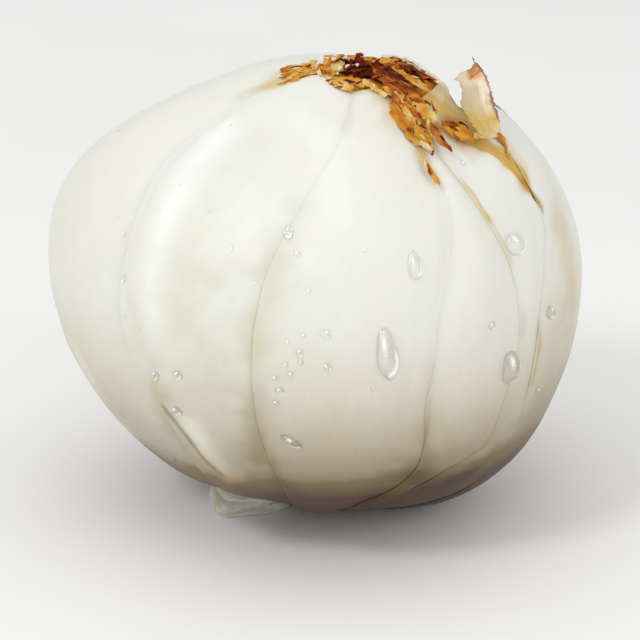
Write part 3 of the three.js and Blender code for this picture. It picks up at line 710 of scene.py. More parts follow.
outer = FineLayer(OUTER_EDGES, OUTER_COVER, OUTER_RIMS, OUTER_SHAPE, 0, OUTER_TAPER)
JOINT_ROW = .74  # the row of points that runs along the next scale's edge
SHARES = np.concatenate([[0, .0015, .004, .0075, .012, .018, .026, .036, .05], np.linspace(.065, .70, 50),
                         JOINT_ROW + np.array([-.03, -.022, -.015, -.009, -.005, -.002, 0, .002, .005, .01, .018]),
                         np.linspace(.77, .93, 10), [.955, .975, .99, 1]])
STEPS = np.concatenate([[0, .0008, .002, .004, .007, .011, .017, .025], np.linspace(.035, .96, 86), [.975, .99, 1]])
# how strongly the joint in front of each scale's right side shows, by polar angle
JOINTS = {
    9: Curve([20, 50, 60, 100, 150], [.15, 0, .05, .3, 1]),
    0: Curve([20, 60, 90, 115, 150], [.15, .2, .4, .8, 1]),
    1: Curve([20, 60, 90, 115, 150], [.03, .14, .4, .6, .8]),
    2: Curve([20, 60, 85, 100, 130], [0, .06, .2, .4, .5]),
    3: Curve([30, 45, 58, 66, 75, 85, 110, 130], [.3, .5, .4, .04, 0, 0, .05, .2]),
    4: Curve([30, 60, 69, 74, 86, 95, 130], [0, 0, .03, .6, .6, .05, .05]),
}
DRYING = [0, .45, .7, .1, .3, .1, .1, .2, .1, .1]
# folds that stand out or in: scale, height mm, half width mm, line of (azimuth, polar)
FOLDS = [
    (1, .80, 3.0, [(-140.5, 46.8), (-137.5, 57.9), (-136, 67.1), (-133.5, 75.5), (-131, 83.8), (-127, 94), (-122, 103.8)]),
    (0, -.16, 1.3, [(-139.5, 105.6), (-133, 115.8), (-127.5, 127.7), (-119, 139)]),
    (2, -.14, 1.6, [(-96, 27), (-92, 36), (-90, 46)]),
    (2, .22, 5.0, [(-74, 55), (-73, 80), (-70, 100)]),
]
# stains and painted light: kind, strength, half width in mm, line of (azimuth, polar); pale strokes are painted
# highlights, dark and cool strokes painted shade, and strokes that take painted shade away lighten it
STAINS = [
    # crease A valley
    ("tan", 0.5, 1.8, [(-123.0, 108.5), (-121.8, 120.0), (-114.5, 126.2), (-107.5, 130.7)]),
    ("brown", 0.85, 0.45, [(-121.2, 112.1), (-115.0, 118.7), (-109.0, 126.4), (-105.0, 129.6)]),
    ("olive", 0.35, 1.2, [(-124.0, 106.7), (-119.8, 115.1), (-114.0, 122.1), (-107.5, 128.4)]),
    ("tan", 0.22, 1.2, [(-132.2, 88.7), (-127.8, 95.6), (-122.8, 104.9)]),
    # painted highlights: painted shade taken away in lighter patches
    ("clean", 0.38, 2.0, [(-113.5, 115.5), (-108.5, 123.5), (-102.0, 131.9)]),
    ("clean", 0.34, 3.0, [(-156.5, 116.4), (-153.0, 125.6), (-146.5, 133.4)]),
    # painted shade low on the right
    ("dark", 0.14, 4.0, [(-61.5, 112.5), (-53.0, 106.5), (-45.5, 99.6)]),
    # crease B
    ("olive", 0.26, 1.9, [(-105.5, 57.0), (-106.2, 68.6), (-105.2, 81.7), (-101.8, 95.1), (-97.0, 107.8)]),
    # painted shade, greenish, on the side of the keel away from the lamp
    ("olive", 0.15, 3.6, [(-126.0, 45.7), (-126.8, 56.6), (-126.5, 66.8), (-124.2, 76.1), (-120.8, 85.8)]),
    # painted highlights along the keel of the second scale and near the top
    ("pale", 0.9, 2.0, [(-137.0, 48.4), (-135.0, 58.8), (-133.0, 68.1), (-131.0, 76.0), (-128.5, 83.5), (-125.2, 91.0)]),
    ("pale", 0.5, 3.0, [(-121.0, 36.6), (-105.2, 41.3), (-97.0, 52.4)]),
    # painted shade in the valley beside the third scale's left edge
    ("dark", 0.22, 1.8, [(-100.5, 99.0), (-99.5, 109.5), (-95.5, 120.5)]),
    ("olive", 0.16, 6.0, [(-103.5, 76.4), (-106.0, 85.6), (-108.0, 96.7)]),
    ("tan", 0.45, 2.0, [(-97.0, 107.8), (-92.0, 120.3), (-86.2, 128.2), (-79.5, 133.0)]),
    ("brown", 0.25, 0.8, [(-92.0, 119.4), (-86.8, 127.0), (-80.0, 132.3)]),
    # crease C
    ("tan", 0.35, 1.3, [(-66.2, 82.8), (-63.8, 92.6), (-61.0, 99.8), (-57.0, 107.6)]),
    ("brown", 0.3, 0.35, [(-64.5, 89.6), (-60.8, 99.8), (-57.5, 106.9)]),
    ("brown", 0.7, 2.2, [(-56.8, 111.9), (-49.5, 115.1)]),
    # underside: painted shade, taken away in one lighter patch, and a blue-grey painted shade
    ("dark", 1.0, 2.0, [(-72.0, 149.8), (-68.0, 138.6), (-53.2, 141.6), (-47.0, 133.2)]),
    ("dark", 0.85, 2.0, [(-46.8, 128.9), (-41.8, 123.0), (-40.5, 117.1), (-39.5, 113.7)]),
    ("dark", 0.22, 2.4, [(-39.5, 113.7), (-37.5, 108.6), (-35.0, 103.8)]),
    ("olive", 0.16, 5.0, [(-40.0, 109.8), (-33.5, 104.1), (-28.5, 98.5), (-27.2, 90.3)]),
    ("clean", 0.14, 5.0, [(-39.2, 102.6), (-35.8, 96.5), (-32.5, 89.6)]),
    ("cool", 0.17, 2.6, [(-45.2, 128.4), (-39.8, 124.4), (-36.8, 118.9), (-32.2, 114.2), (-31.0, 106.9), (-28.5, 98.5), (-27.2, 90.3)]),
    ("cool", 0.1, 5.0, [(-43.2, 111.9), (-39.2, 102.6), (-35.8, 96.5), (-32.5, 89.6), (-31.0, 79.0)]),
    # right side
    ("ochre", 0.22, 3.0, [(-21.8, 53.2), (-22.2, 60.8), (-22.0, 69.3)]),
    ("tan", 0.26, 4.0, [(-21.8, 53.2), (-22.2, 60.8), (-22.0, 69.3)]),
    ("olive", 0.1, 9.0, [(-168.5, 89.2), (-155.0, 97.6), (-151.5, 108.6)]),
    ("olive", 0.08, 7.0, [(-124.5, 70.4), (-121.5, 81.7), (-116.5, 91.3)]),
    ("tan", 0.35, 0.5, [(-42.2, 70.2), (-41.8, 72.9), (-41.5, 75.1)]),
    # painted highlight: the lip of an edge low on the right that catches the lamp
    ("pale", 0.8, 0.5, [(-54.8, 122.7), (-50.0, 120.3), (-49.0, 113.7), (-44.8, 108.5), (-42.0, 104.9), (-39.0, 101.5)]),
    ("olive", 0.45, 0.8, [(-35.5, 73.8), (-34.0, 77.4), (-34.0, 80.8), (-33.5, 86.3)]),
    ("ochre", 0.55, 0.4, [(-35.2, 74.5), (-34.0, 77.4), (-34.0, 80.8), (-33.5, 85.6)]),
    # yellow vein of the fifth scale's edge
    ("ochre", 0.1, 1.0, [(-65.5, 36.2), (-62.5, 39.5), (-59.0, 42.7)]),
    ("ochre", 0.75, 0.4, [(-60.2, 41.8), (-56.8, 44.8), (-54.8, 47.9), (-53.0, 49.7)]),
    ("ochre", 0.35, 0.4, [(-53.0, 49.7), (-50.0, 53.8), (-46.5, 59.0)]),
    # yellowed strip between the torn flap and its tail
    ("ochre", 1.6, 2.2, [(-59.0, 18.6), (-52.0, 21.4), (-47.5, 23.0), (-47.8, 25.9), (-47.5, 29.1)]),
    ("ochre", 0.85, 1.7, [(-32.5, 13.9), (-39.8, 17.5), (-44.8, 20.7)]),
    ("ochre", 0.75, 1.6, [(55.5, 37.5), (55.0, 39.3)]),
    ("tan", 0.8, 2.0, [(55.5, 37.5), (55.0, 39.3)]),
    ("olive", 0.25, 2.0, [(-44.5, 16.6), (-44.8, 20.7), (-42.0, 23.6)]),
    ("brown", 0.45, 1.1, [(-56.2, 25.5), (-56.0, 26.4), (-56.2, 27.7)]),
    ("tan", 0.6, 3.2, [(-43.8, 15.3), (-44.8, 20.7), (-45.2, 25.3)]),
    ("ochre", 1.5, 1.4, [(-56.2, 27.7), (-49.8, 30.0), (-43.8, 31.8), (-39.2, 33.9), (-35.8, 36.1)]),
    ("olive", 0.35, 1.5, [(-38.2, 33.4), (-35.8, 36.1), (-34.0, 39.5)]),
    ("ochre", 1.3, 1.1, [(-35.8, 36.1), (-34.0, 39.5), (-31.8, 42.9)]),
    ("ochre", 1.0, 0.7, [(-31.8, 42.9), (-30.2, 45.7), (-28.8, 48.2)]),
    ("brown", 0.85, 0.3, [(-33.8, 41.8), (-31.5, 43.8), (-29.5, 46.3), (-28.8, 48.8)]),
    ("brown", 0.6, 0.8, [(-56.2, 25.5), (-51.8, 27.3)]),
    ("brown", 0.3, 1.1, [(-51.2, 27.1), (-49.2, 29.1), (-47.0, 30.5)]),
    ("ochre", 0.3, 1.3, [(-28.5, 30.7), (-29.2, 35.2), (-29.0, 39.8)]),
    # stained flesh round the withered tissue
    ("ochre", 0.45, 1.5, [(-147.0, 31.6), (-156.2, 26.4), (-148.8, 23.7)]),
    ("ochre", 0.55, 1.6, [(-89.8, 20.3), (-83.8, 25.3), (-78.2, 30.0), (-74.5, 32.0)]),
    ("tan", 0.35, 2.6, [(-89.5, 21.6), (-82.8, 28.2), (-75.2, 33.0)]),
    ("ochre", 0.35, 0.7, [(-75.0, 35.2), (-71.8, 39.5), (-69.5, 42.7)]),
    ("brown", 0.35, 0.9, [(-113.0, 21.9), (-105.5, 18.5), (-92.2, 20.7)]),
    # root end
    ("tan", 0.35, 1.8, [(-123.2, 145.0), (-119.2, 150.2), (-106.2, 137.3)]),
    ("ochre", 0.45, 1.2, [(-102.8, 131.2), (-99.2, 134.1)]),
    # painted shade near the root plate
    ("dark", 0.35, 1.2, [(-116.2, 138.2), (-107.0, 133.9)]),
    # small marks
    ("olive", 0.25, 0.8, [(-110.0, 23.2), (-105.8, 28.9), (-103.5, 34.6)]),
    ("olive", 0.45, 1.0, [(-150.8, 37.1), (-149.8, 33.4), (-149.0, 30.0)]),
    ("ochre", 0.22, 0.8, [(-150.2, 34.8), (-149.2, 32.0), (-148.2, 29.6)]),
]


def stroke(points, line, width):
    """1 on a line of surface points, fading to 0 over the given width in mm."""
    p = place(0.0, np.array([a for a, _ in line], float), np.array([b for _, b in line], float))
    best = np.full(points.shape[:-1], 1e9)
    for a, b in zip(p[:-1], p[1:]):
        ab = b - a
        t = np.clip(((points - a) @ ab) / (ab @ ab), 0, 1)
        best = np.minimum(best, np.linalg.norm(points - a - t[..., None] * ab, axis=-1))
    return np.exp(-(best / width) ** 2 * 0.8)


def seam_of(layer, i, az, po):
    """mm from a point of scale i to the nearest edge of the scale that covers it."""
    wide = 0.72 * np.maximum(0.12, np.sin(po * RAD))
    N = layer.left(i + 1, po)
    share = (az - N) / (layer.right(i + 1, po) - N)
    above = (layer.rim(i + 1, share) - po) * 0.72
    side = (N - az) * wide
    corner = layer.rim(i + 1, np.zeros_like(share))
    out = np.where(side > 0, np.hypot(side, np.maximum(0, (corner - po) * 0.72)), np.maximum(0, above))
    return out


def relief(i, az, po, points, edge, seam, rim):
    """Shallow hand-grown unevenness of a scale's outer face, in mm."""
    quiet = ease((edge - 0.5) / 3) * ease((seam - 0.15) / 2.2) * ease((rim - 0.3) / 3)
    broad = 0.16 * waves(points, 15, 50 + i) + 0.05 * waves(points, 6.5, 80 + i)
    ribs = np.stack([az * 0.72, po * 0.05, np.full_like(az, 9.0 * i)], -1)
    ribs = 0.014 * waves(ribs, 2.6, 110 + i) + 0.005 * waves(ribs, 1.1, 140 + i)
    pits = 0.015 * waves(points, 2.2, 170 + i)
    folds = sum((h * stroke(points, line, w) for k, h, w, line in FOLDS if k == i % 10), np.zeros_like(az))
    return quiet * (broad + ribs + pits + folds)


def scale_grids(layer, i, shares, steps, fancy):
    u = shares[:, None] + 0 * steps[None, :]
    share = u
    for _ in range(6 if fancy else 0):
        start = layer.rim(i, share)
        at = start + (ROOT_END - start) * steps[None, :]
        L, R, N = layer.left(i, at), layer.right(i, at), layer.left(i + 1, at)
        cut = np.clip((N - L) / (R - L), 0.15, 0.97)
        share = np.where(u < JOINT_ROW, u / JOINT_ROW * cut, cut + (u - JOINT_ROW) / (1 - JOINT_ROW) * (1 - cut))
    rim0 = layer.rim(i, share)
    if fancy:
        # the rim is not quite even
        t = np.stack([share * 40, np.full_like(share, 3.0 * i)], -1)
        rim0 = rim0 + 0.22 * waves(t, 3.4, 700 + i) * ease(share / .05) * ease((1 - share) / .05)
    po = rim0 + (ROOT_END - rim0) * steps[None, :]
    L, R = layer.left(i, po), layer.right(i, po)
    az = L + share * (R - L)
    h, t = layer.back(i, az, po), layer.thickness(i, az, po)
    wide = 0.72 * np.maximum(0.12, np.sin(po * RAD))
    edge, rim = (az - L) * wide, (po - rim0) * 0.72
    seam = seam_of(layer, i, az, po)
    flat = place(h, az, po)
    if fancy:
        h = h + relief(i, az, po, flat, edge, seam, rim)
    # rounded edges, sharper where the joint is level
    soft = layer.softness(i, po) if fancy else 0.3
    soft_rim = SOFT_RIM[i % 10] if fancy else 0.5
    drop = np.zeros_like(h)
    for near, s in ((edge, soft), (rim, soft_rim), ((R - az) * wide, 0.2)):
        r = 0.55 * (1 - 0.8 * s)
        drop = np.maximum(drop, (1 - 0.97 * s) * (1 - np.sqrt(1 - (1 - np.clip(near / r, 0, 1)) ** 2)))
    h = h - np.minimum(t, 0.5) / 2 * drop
    border = np.zeros(share.shape, bool)
    border[[0, -1], :] = True
    border[:, [0, -1]] = True
    top = place(np.where(border, h - 0.1 * t, h), az, po)
    top[..., 2] = np.maximum(0, top[..., 2])
    low = place(layer.back(i, az, po) - t, az, po)
    return share, az, po, edge, rim, seam, top, low


def az_round(az):
    return (az + 180) % 360 - 180


def outer_scale(i):
    share, az, po, edge, rim, seam, top, low = scale_grids(outer, i, SHARES, STEPS, True)
    stain = np.zeros(share.shape + (4,))
    olive, grime, pale = np.zeros(share.shape), np.zeros(share.shape), np.zeros(share.shape)
    z = top[..., 2]
    # the colour warms towards the root (the flesh's own tint) and, away from the lit left side, is painted warmer and
    # darker low down as shade and warm light reflected from below; it also turns greener low down, most on the left
    side = az_round(az)
    left = np.exp(-((side + 124) / 25) ** 2)
    stain[..., 0] += 0.40 * ease((46 - z) / 22) * (1 - 0.6 * left) + 0.10 * ease((po - 112) / 40)
    stain[..., 1] += 0.14 * ease((44 - z) / 24) * (1 - 0.7 * left)
    olive += 0.07 * ease((70 - z) / 30) + 0.10 * left * ease((60 - z) / 30)
    # painted shade, warm-tinted: every belly darkens low down, less on the lit left side, and the shaded right side
    # darkens a little more
    grime += 0.08 * ease((50 - z) / 16) + 0.86 * ease((37 - z) / 27) * (1 - 0.33 * left) + 1.9 * ease((19.5 - z) / 14) * (1 - 0.5 * left)
    grime += 0.13 * ease((side + 48) / 26) * ease((50 - z) / 18) * ease((150 - side) / 60)
    kinds = {"tan": 0, "ochre": 1, "brown": 2, "cool": 3}
    ragged = 1 + 0.3 * waves(top, 3.0, 260)
    ground = place(0.0, az, po)
    for kind, strength, width, line in STAINS:
        value = strength * stroke(ground, line, width * ragged)
        if kind == "olive":
            olive += value
        # pale strokes are a painted highlight; dark strokes add painted shade and the next kind takes painted shade
        # away
        elif kind == "pale":
            pale += value
        elif kind == "dark":
            grime += value
        elif kind == "clean":
            grime -= value
        else:
            stain[..., kinds[kind]] += value
    if i == 3:
        # the strip of the fourth scale that shows above the fifth one's rim turns yellow
        beyond = ease((az - outer.left(4, po) + 1) / 4)
        stain[..., 1] += 0.9 * ease((2.9 - seam) / 0.8) * beyond
        stain[..., 0] += 0.5 * ease((5.5 - seam) / 2.5) * beyond
        olive += 0.25 * ease((3.2 - seam) / 1.2) * beyond * ease((po - 34) / 6)
    joint = JOINTS.get(i, Curve([20, 60, 110, 150], [.3, .35, .8, 1]))(po)
    grain = np.stack([share * 46, po * 0.72, np.full_like(po, 13.0 * i)], -1)
    heap = Heap()
    closed_grid(heap, top, low, stain=np.clip(stain, 0, 1), olive=np.clip(olive, 0, 1), grime=np.clip(grime, 0, 2), pale=np.clip(pale, 0, 1),
                edge=edge, rim=rim, seam=seam, line=joint,
                dry=np.full_like(po, DRYING[i]), grain=grain)
    heap.piece(f"scale_{i + 1}", FLESH, [f"outer_scale_{i + 1}"])


for i in range(10):
    outer_scale(i)

# ---------------------------------------------------------------- inner whorls
for name, count, start, depth, full, swell, cover, tips in INNER_LAYERS:
    layer = make_inner(count, start, depth, full, swell, cover, tips)
    for i in range(count):
        share, az, po, edge, rim, seam, top, low = scale_grids(
            layer, i, np.concatenate([[0, .01, .03], np.linspace(.06, .94, 34), [.97, .99, 1]]),
            np.concatenate([[0, .002, .006, .014, .025], np.linspace(.04, .96, 40), [.985, 1]]), False)
        stain = np.zeros(share.shape + (4,))
        stain[..., 1] = 0.5 * ease((7 - rim) / 7)
        stain[..., 2] = 0.75 * ease((3.2 - rim) / 3)
        heap = Heap()
        closed_grid(heap, top, low, stain=stain, edge=edge, rim=rim, seam=seam, line=np.full_like(po, .6),
                    dry=np.full_like(po, 1.0), grain=np.stack([share * 30, po * 0.72, np.full_like(po, 7.0 * i)], -1))
        heap.piece(f"{name}_{i + 1}_fine", INNER, [f"{name}_{i + 1}"])


# ---------------------------------------------------------------- withered tissue
# strips of dry tissue: points (x deg, y deg, height mm, half width mm, tone)
FLAKES = {
    "1a": [(-26.1, -17.9, 0.6, 0.4, 0.8), (-23.4, -17, 1, 1.5, 0.72), (-20.2, -13.9, 1.2, 2.2, 0.52), (-16.8, -12, 1.2, 2.2, 0.515), (-13, -14.4, 1, 1.2, 0.62)],
    "1b": [(-24.5, -6.6, 0.8, 0.6, 0.9), (-21.4, -6.5, 1, 1.7, 0.86), (-18.4, -4.9, 1.1, 2, 0.72), (-14.8, -7.7, 1, 1.2, 0.86)],
    "1c": [(-24.7, -9, 1.5, 0.25, 0.465), (-23.2, -8.7, 1.6, 0.7, 0.445), (-21.9, -8.8, 1.5, 0.25, 0.4775)],
    "1d": [(-20.1, -12.8, 1.7, 0.4, 0.49), (-19, -9.3, 1.8, 0.9, 0.485), (-18, -7.1, 1.7, 0.4, 0.515)],
    "1e": [(-17.2, -6.1, 1.9, 0.2, 0.85), (-16.1, -11.3, 2, 0.35, 0.92), (-15.1, -14.8, 1.8, 0.2, 0.8)],
    "1f": [(-16.5, -5.2, 1.8, 0.2, 0.4275), (-15.5, -10.1, 1.9, 0.5, 0.42), (-14.5, -13.8, 1.7, 0.2, 0.465)],
    "1g": [(-23.4, -18, 1.4, 0.3, 0.78), (-21.4, -16.2, 1.6, 0.6, 0.7), (-19.7, -13.5, 1.6, 0.5, 0.55)],
    "2a": [(-15, -14.5, 1.4, 0.3, 0.4), (-12.9, -16.5, 1.5, 0.6, 0.34), (-10.2, -19.2, 1.4, 0.4, 0.4)],
    "2b": [(-12.9, -14.9, 1.8, 0.4, 0.6), (-10.6, -18, 1.9, 1, 0.7), (-8, -19.9, 1.6, 0.5, 0.66)],
    "2c": [(-7.5, -18.2, 1.6, 0.4, 0.4), (-6.5, -17.3, 1.7, 0.7, 0.48), (-5.3, -17.4, 1.6, 0.3, 0.5)],
    "2d": [(-5.9, -15.3, 1.8, 0.4, 0.78), (-4, -17.4, 1.9, .6, 0.76), (-2.2, -19, 1.8, 0.55, 0.74), (-0.4, -20.6, 1.6, 0.3, 0.76)],
    "2e": [(-1.2, -17.3, 2, 0.4, 0.72), (0.9, -19.7, 2, 0.6, 0.68), (3.2, -21.5, 1.8, 0.3, 0.66)],
    "3a": [(-4.6, -8.4, 2.4, 0.5, 0.2), (-1.5, -10.9, 2.4, 1.7, 0.16), (1.8, -14.8, 2.2, 1.9, 0.2), (4.7, -18.2, 2.1, 1.5, 0.28), (6.8, -21, 2, 0.5, 0.4)],
    "3b": [(-3.9, -4.9, 2.6, 0.4, 0.6), (-1.7, -1.6, 2.8, 0.7, 0.62), (0.7, -0.5, 2.8, 0.4, 0.5)],
    "3c": [(0.1, -6.3, 3, 0.3, 0.6), (2.9, -9.7, 3, 0.7, 0.56), (5.9, -13, 2.8, 0.6, 0.58), (8.5, -15.1, 2.6, 0.2, 0.7)],
    "3d": [(-0.8, -8, 2.9, 0.4, 0.05), (0.6, -10.7, 3, 0.9, 0.03), (1.7, -13.6, 2.8, 0.4, 0.1)],
    "3e": [(-2.3, -13.8, 2.4, 0.3, 0.35), (0.6, -17, 2.4, 0.7, 0.3), (3.6, -20.6, 2.2, 0.6, 0.4)],
    "3f": [(3.7, -16.9, 2.6, 0.3, 0.3), (5.6, -18.9, 2.6, 0.8, 0.45), (8, -20.3, 2.4, 0.4, 0.6)],
    "3g": [(0.8, 4.1, 2.6, 0.5, 0.72), (3.6, 6.5, 2.7, 0.9, 0.97), (6.6, 0.1, 2.7, 1, 0.98), (9.9, -5.6, 2.4, 0.3, 0.95)],
    "3h": [(1.8, 0, 2.2, 0.4, 0.4), (4.3, -1.2, 2.2, 1.2, 0.2), (7.3, -5.1, 2.1, 1.1, 0.15), (10.2, -6.1, 2, 0.2, 0.35)],
    "3i": [(2.3, -7.1, 2.7, 0.3, 0.62), (4.9, -10.5, 2.7, 0.5, 0.66), (7.8, -12, 2.6, 0.3, 0.72)],
    "4a": [(1.1, -21.5, 2, 0.5, 0.52), (3, -24.3, 2.1, 1.7, 0.55), (5.1, -27.6, 2.1, 2.1, 0.57), (7.7, -30.7, 2, 1.6, 0.6), (10, -32.8, 1.8, 0.4, 0.7)],
    "4b": [(4.8, -21.6, 2.4, 0.5, 0.72), (7.6, -23.3, 2.5, 1.5, 0.76), (10.6, -25, 2.2, 0.5, 0.82)],
    "4c": [(2.2, -22.9, 2.5, 0.3, 0.45), (3.7, -23.3, 2.6, 1.1, 0.48), (5.4, -24.2, 2.5, 0.3, 0.4)],
    "4d": [(9.2, -17.7, 2.3, 0.12, 0.5), (9.6, -20.2, 2.3, 0.22, 0.42), (9.9, -22.7, 2.2, 0.08, 0.5)],
    "4e": [(6.5, -27, 2.6, 0.2, 0.35), (7.7, -27.6, 2.6, 0.35, 0.28), (8.9, -28.2, 2.5, 0.15, 0.4)],
    "4f": [(9.1, -24.3, 2.3, 0.2, .78), (9.4, -27.4, 2.4, 0.4, .76), (10.7, -30.1, 2.2, 0.1, .74)],
    "4g": [(9.5, -26.1, 2.8, 0.15, 0.4), (10.8, -28.1, 2.9, 0.65, 0.44), (12.6, -30.3, 2.8, 0.6, 0.4), (15.4, -31.6, 2.4, 0.1, 0.3)],
    "4h": [(6.5, -29.1, 2.4, 0.4, 0.5), (8.6, -31, 2.5, 1.1, 0.54), (11, -32.8, 2.2, 0.4, 0.62)],
    "4i": [(8, -34.6, 2, 0.15, 0.66), (9.9, -36.9, 2, 0.3, 0.7), (11.8, -38.5, 1.9, 0.35, 0.68), (13.3, -39.9, 1.8, 0.55, 0.72), (14.8, -40.7, 1.6, 0.1, 0.6)],
    "4j": [(8.1, -32.4, 2.6, 0.3, 0.72), (9.5, -33.3, 2.7, 0.5, 0.8), (11, -33.8, 2.5, 0.2, 0.7)],
    "5a": [(12.1, -24.3, 2.4, 0.3, 0.5), (14, -24.7, 2.6, 1.2, 0.44), (16.7, -24.7, 2.6, 1.5, 0.48), (19.1, -24.9, 2.4, 0.4, 0.55)],
    "5b": [(12.7, -24, 2.9, 0.2, 0.3), (14.1, -23.9, 3, 0.5, 0.18), (15.6, -23.6, 2.9, 0.2, 0.3)],
    "5c": [(14.8, -26.2, 2.8, 0.2, 0.5), (17.1, -25.9, 2.9, 0.6, 0.52), (19.2, -25.5, 2.7, 0.2, 0.6)],
    "5e": [(23.0, -17.6, 1.2, 0.3, 0.70), (25.6, -15.8, 1.1, 0.9, 0.66), (27.6, -16.2, .8, 0.9, 0.66), (29.6, -18.6, .35, 0.4, 0.66), (30.6, -20.0, .2, 0.1, 0.66)],
    "5d": [(18.9, -24.2, 3, 0.3, 0.7), (19.8, -23.5, 3, 0.5, 0.66), (20.6, -23.6, 2.8, 0.2, 0.3)],
}


def tip_plane(x, y, h):
    """Point from polar degrees towards +X and +Y."""
    x, y = np.asarray(x, float), np.asarray(y, float)
    return place(h, np.arctan2(y, x) / RAD, np.maximum(0.05, np.hypot(x, y)))


def flake(heap, line, seed, thick=0.09, ragged=0.24, crumple=0.12, curl=0.25, n=44, m=15):
    rng = np.random.default_rng(seed)
    line = np.asarray(line, float)
    k = np.linspace(0, 1, len(line))
    t = np.linspace(0, 1, n)
    x, y, h, w, tone = [Curve(k, line[:, c])(t) for c in range(5)]
    mid = tip_plane(x, y, h)
    up = unit(mid - tip_plane(x, y, h - 1))
    side = unit(np.cross(np.gradient(mid, axis=0), up))
    s = np.linspace(-1, 1, m)
    left, right = [w * np.maximum(0.15, 1 + ragged * (0.8 * waves(t[:, None] * 10, 3.1, seed + 1000 + q)
                                                 + 0.45 * waves(t[:, None] * 10, 1.1, seed + 1200 + q))) for q in (0, 1)]
    wide = np.where(s[None] < 0, left[:, None], right[:, None])
    off = wide * s[None]
    bend = curl * rng.uniform(0.5, 1.3)
    rise = -bend * wide * s[None] ** 2 + 0.12 * wide * s[None] * rng.uniform(-1, 1)
    pts = mid[:, None] + off[..., None] * side[:, None] + rise[..., None] * up[:, None]
    creased = 1 - 2 * np.abs(waves(pts, 2.6, seed + 31))
    pts = pts + (crumple * creased + 0.35 * crumple * waves(pts, 0.9, seed + 57))[..., None] * up[:, None]
    face = pts - thick * up[:, None]
    shade = tone[:, None] + 0.10 * waves(pts, 2.2, seed + 83) + 0.05 * np.abs(s[None]) ** 3 - 0.03
    run = np.concatenate([[0], np.cumsum(np.linalg.norm(np.diff(mid, axis=0), axis=1))])
    grain = np.stack([off, run[:, None] + 0 * off, np.full_like(off, seed * 3.1)], -1)
    two_sided(heap, pts, face, tone=np.clip(shade, 0, 1), grain=grain)


def crumb(heap, x, y, h, size, tone, seed, thick=0.14):
    """A small crumpled bit of dry tissue lying in any direction."""
    rng = np.random.default_rng(seed)
    turn, tip = rng.uniform(0, 2 * np.pi), rng.uniform(-0.7, 0.7)
    ln, wd = size * rng.uniform(0.8, 1.5), size * rng.uniform(0.35, 0.7)
    u, v = np.meshgrid(np.linspace(-1, 1, 13), np.linspace(-1, 1, 9), indexing="ij")
    at = tip_plane(x, y, h)
    up = unit(at - tip_plane(x, y, h - 1))
    a = unit(np.cross(up, [0.31, 0.2, 0.9]))
    b = np.cross(up, a)
    a, b = a * np.cos(turn) + b * np.sin(turn), b * np.cos(turn) - a * np.sin(turn)
    a = unit(a * np.cos(tip) + up * np.sin(tip))
    c = unit(np.cross(a, b))
    taper = np.sqrt(np.maximum(0.02, 1 - np.abs(u) ** 2.4))
    edge = 1 + 0.35 * waves(np.stack([u * 3, np.sign(v) * 4], -1), 1.5, seed + 5)
    pts = at + (u * ln)[..., None] * a + (v * wd * taper * edge)[..., None] * b
    lift = 0.28 * size * waves(pts, 1.5 * size, seed + 9) + rng.uniform(-0.5, 0.5) * wd * v ** 2
    pts = pts + lift[..., None] * c
    face = pts - thick * c
    shade = tone + 0.08 * waves(pts, 1.0, seed + 21)
    two_sided(heap, pts, face, tone=np.clip(shade, 0, 1),
              grain=np.stack([v * wd, u * ln, np.full_like(u, seed * 1.7)], -1))


def ribbon(heap, line, tall, low, high, seed, n=70, m=14):
    """A thin standing rim: brown foot, pale papery top that curls over."""
    line = np.asarray(line, float)
    t = np.linspace(0, 1, n)
    k = np.linspace(0, 1, len(line))
    x, y, up_to = Curve(k, line[:, 0])(t), Curve(k, line[:, 1])(t), Curve(k, tall)(t)
    s = np.linspace(0, 1, m)[None]
    jag = 1 + 0.18 * waves(t[:, None] * 12, 1.5, seed) + 0.08 * waves(t[:, None] * 12, 0.5, seed + 1)
    h = low + (high + 0.95 * (up_to * jag)[:, None] - low) * s
    # it leans outwards a little and its lip bends over
    out = 0.5 + 1.3 * s ** 2
    r = np.hypot(x, y)[:, None]
    xx, yy = x[:, None] * (1 + out / r), y[:, None] + 0 * s
    pts = tip_plane(xx, yy, h)
    pts = pts + (0.12 * waves(pts, 1.6, seed + 2))[..., None] * np.array([0.7, -0.7, 0])
    side = unit(np.cross(np.gradient(pts, axis=0), np.gradient(pts, axis=1)))
    tone = 0.22 + 0.9 * ease((s - 0.36 + 0.10 * waves(pts, 1.2, seed + 3)) / 0.2)
    tone = tone - 0.3 * ease((s - 0.95) / 0.05)
    two_sided(heap, pts, pts + 0.13 * side, tone=np.clip(tone, 0, 1.15),
              grain=np.stack([t[:, None] * 16 + 0 * s, h, 0 * h + seed], -1))


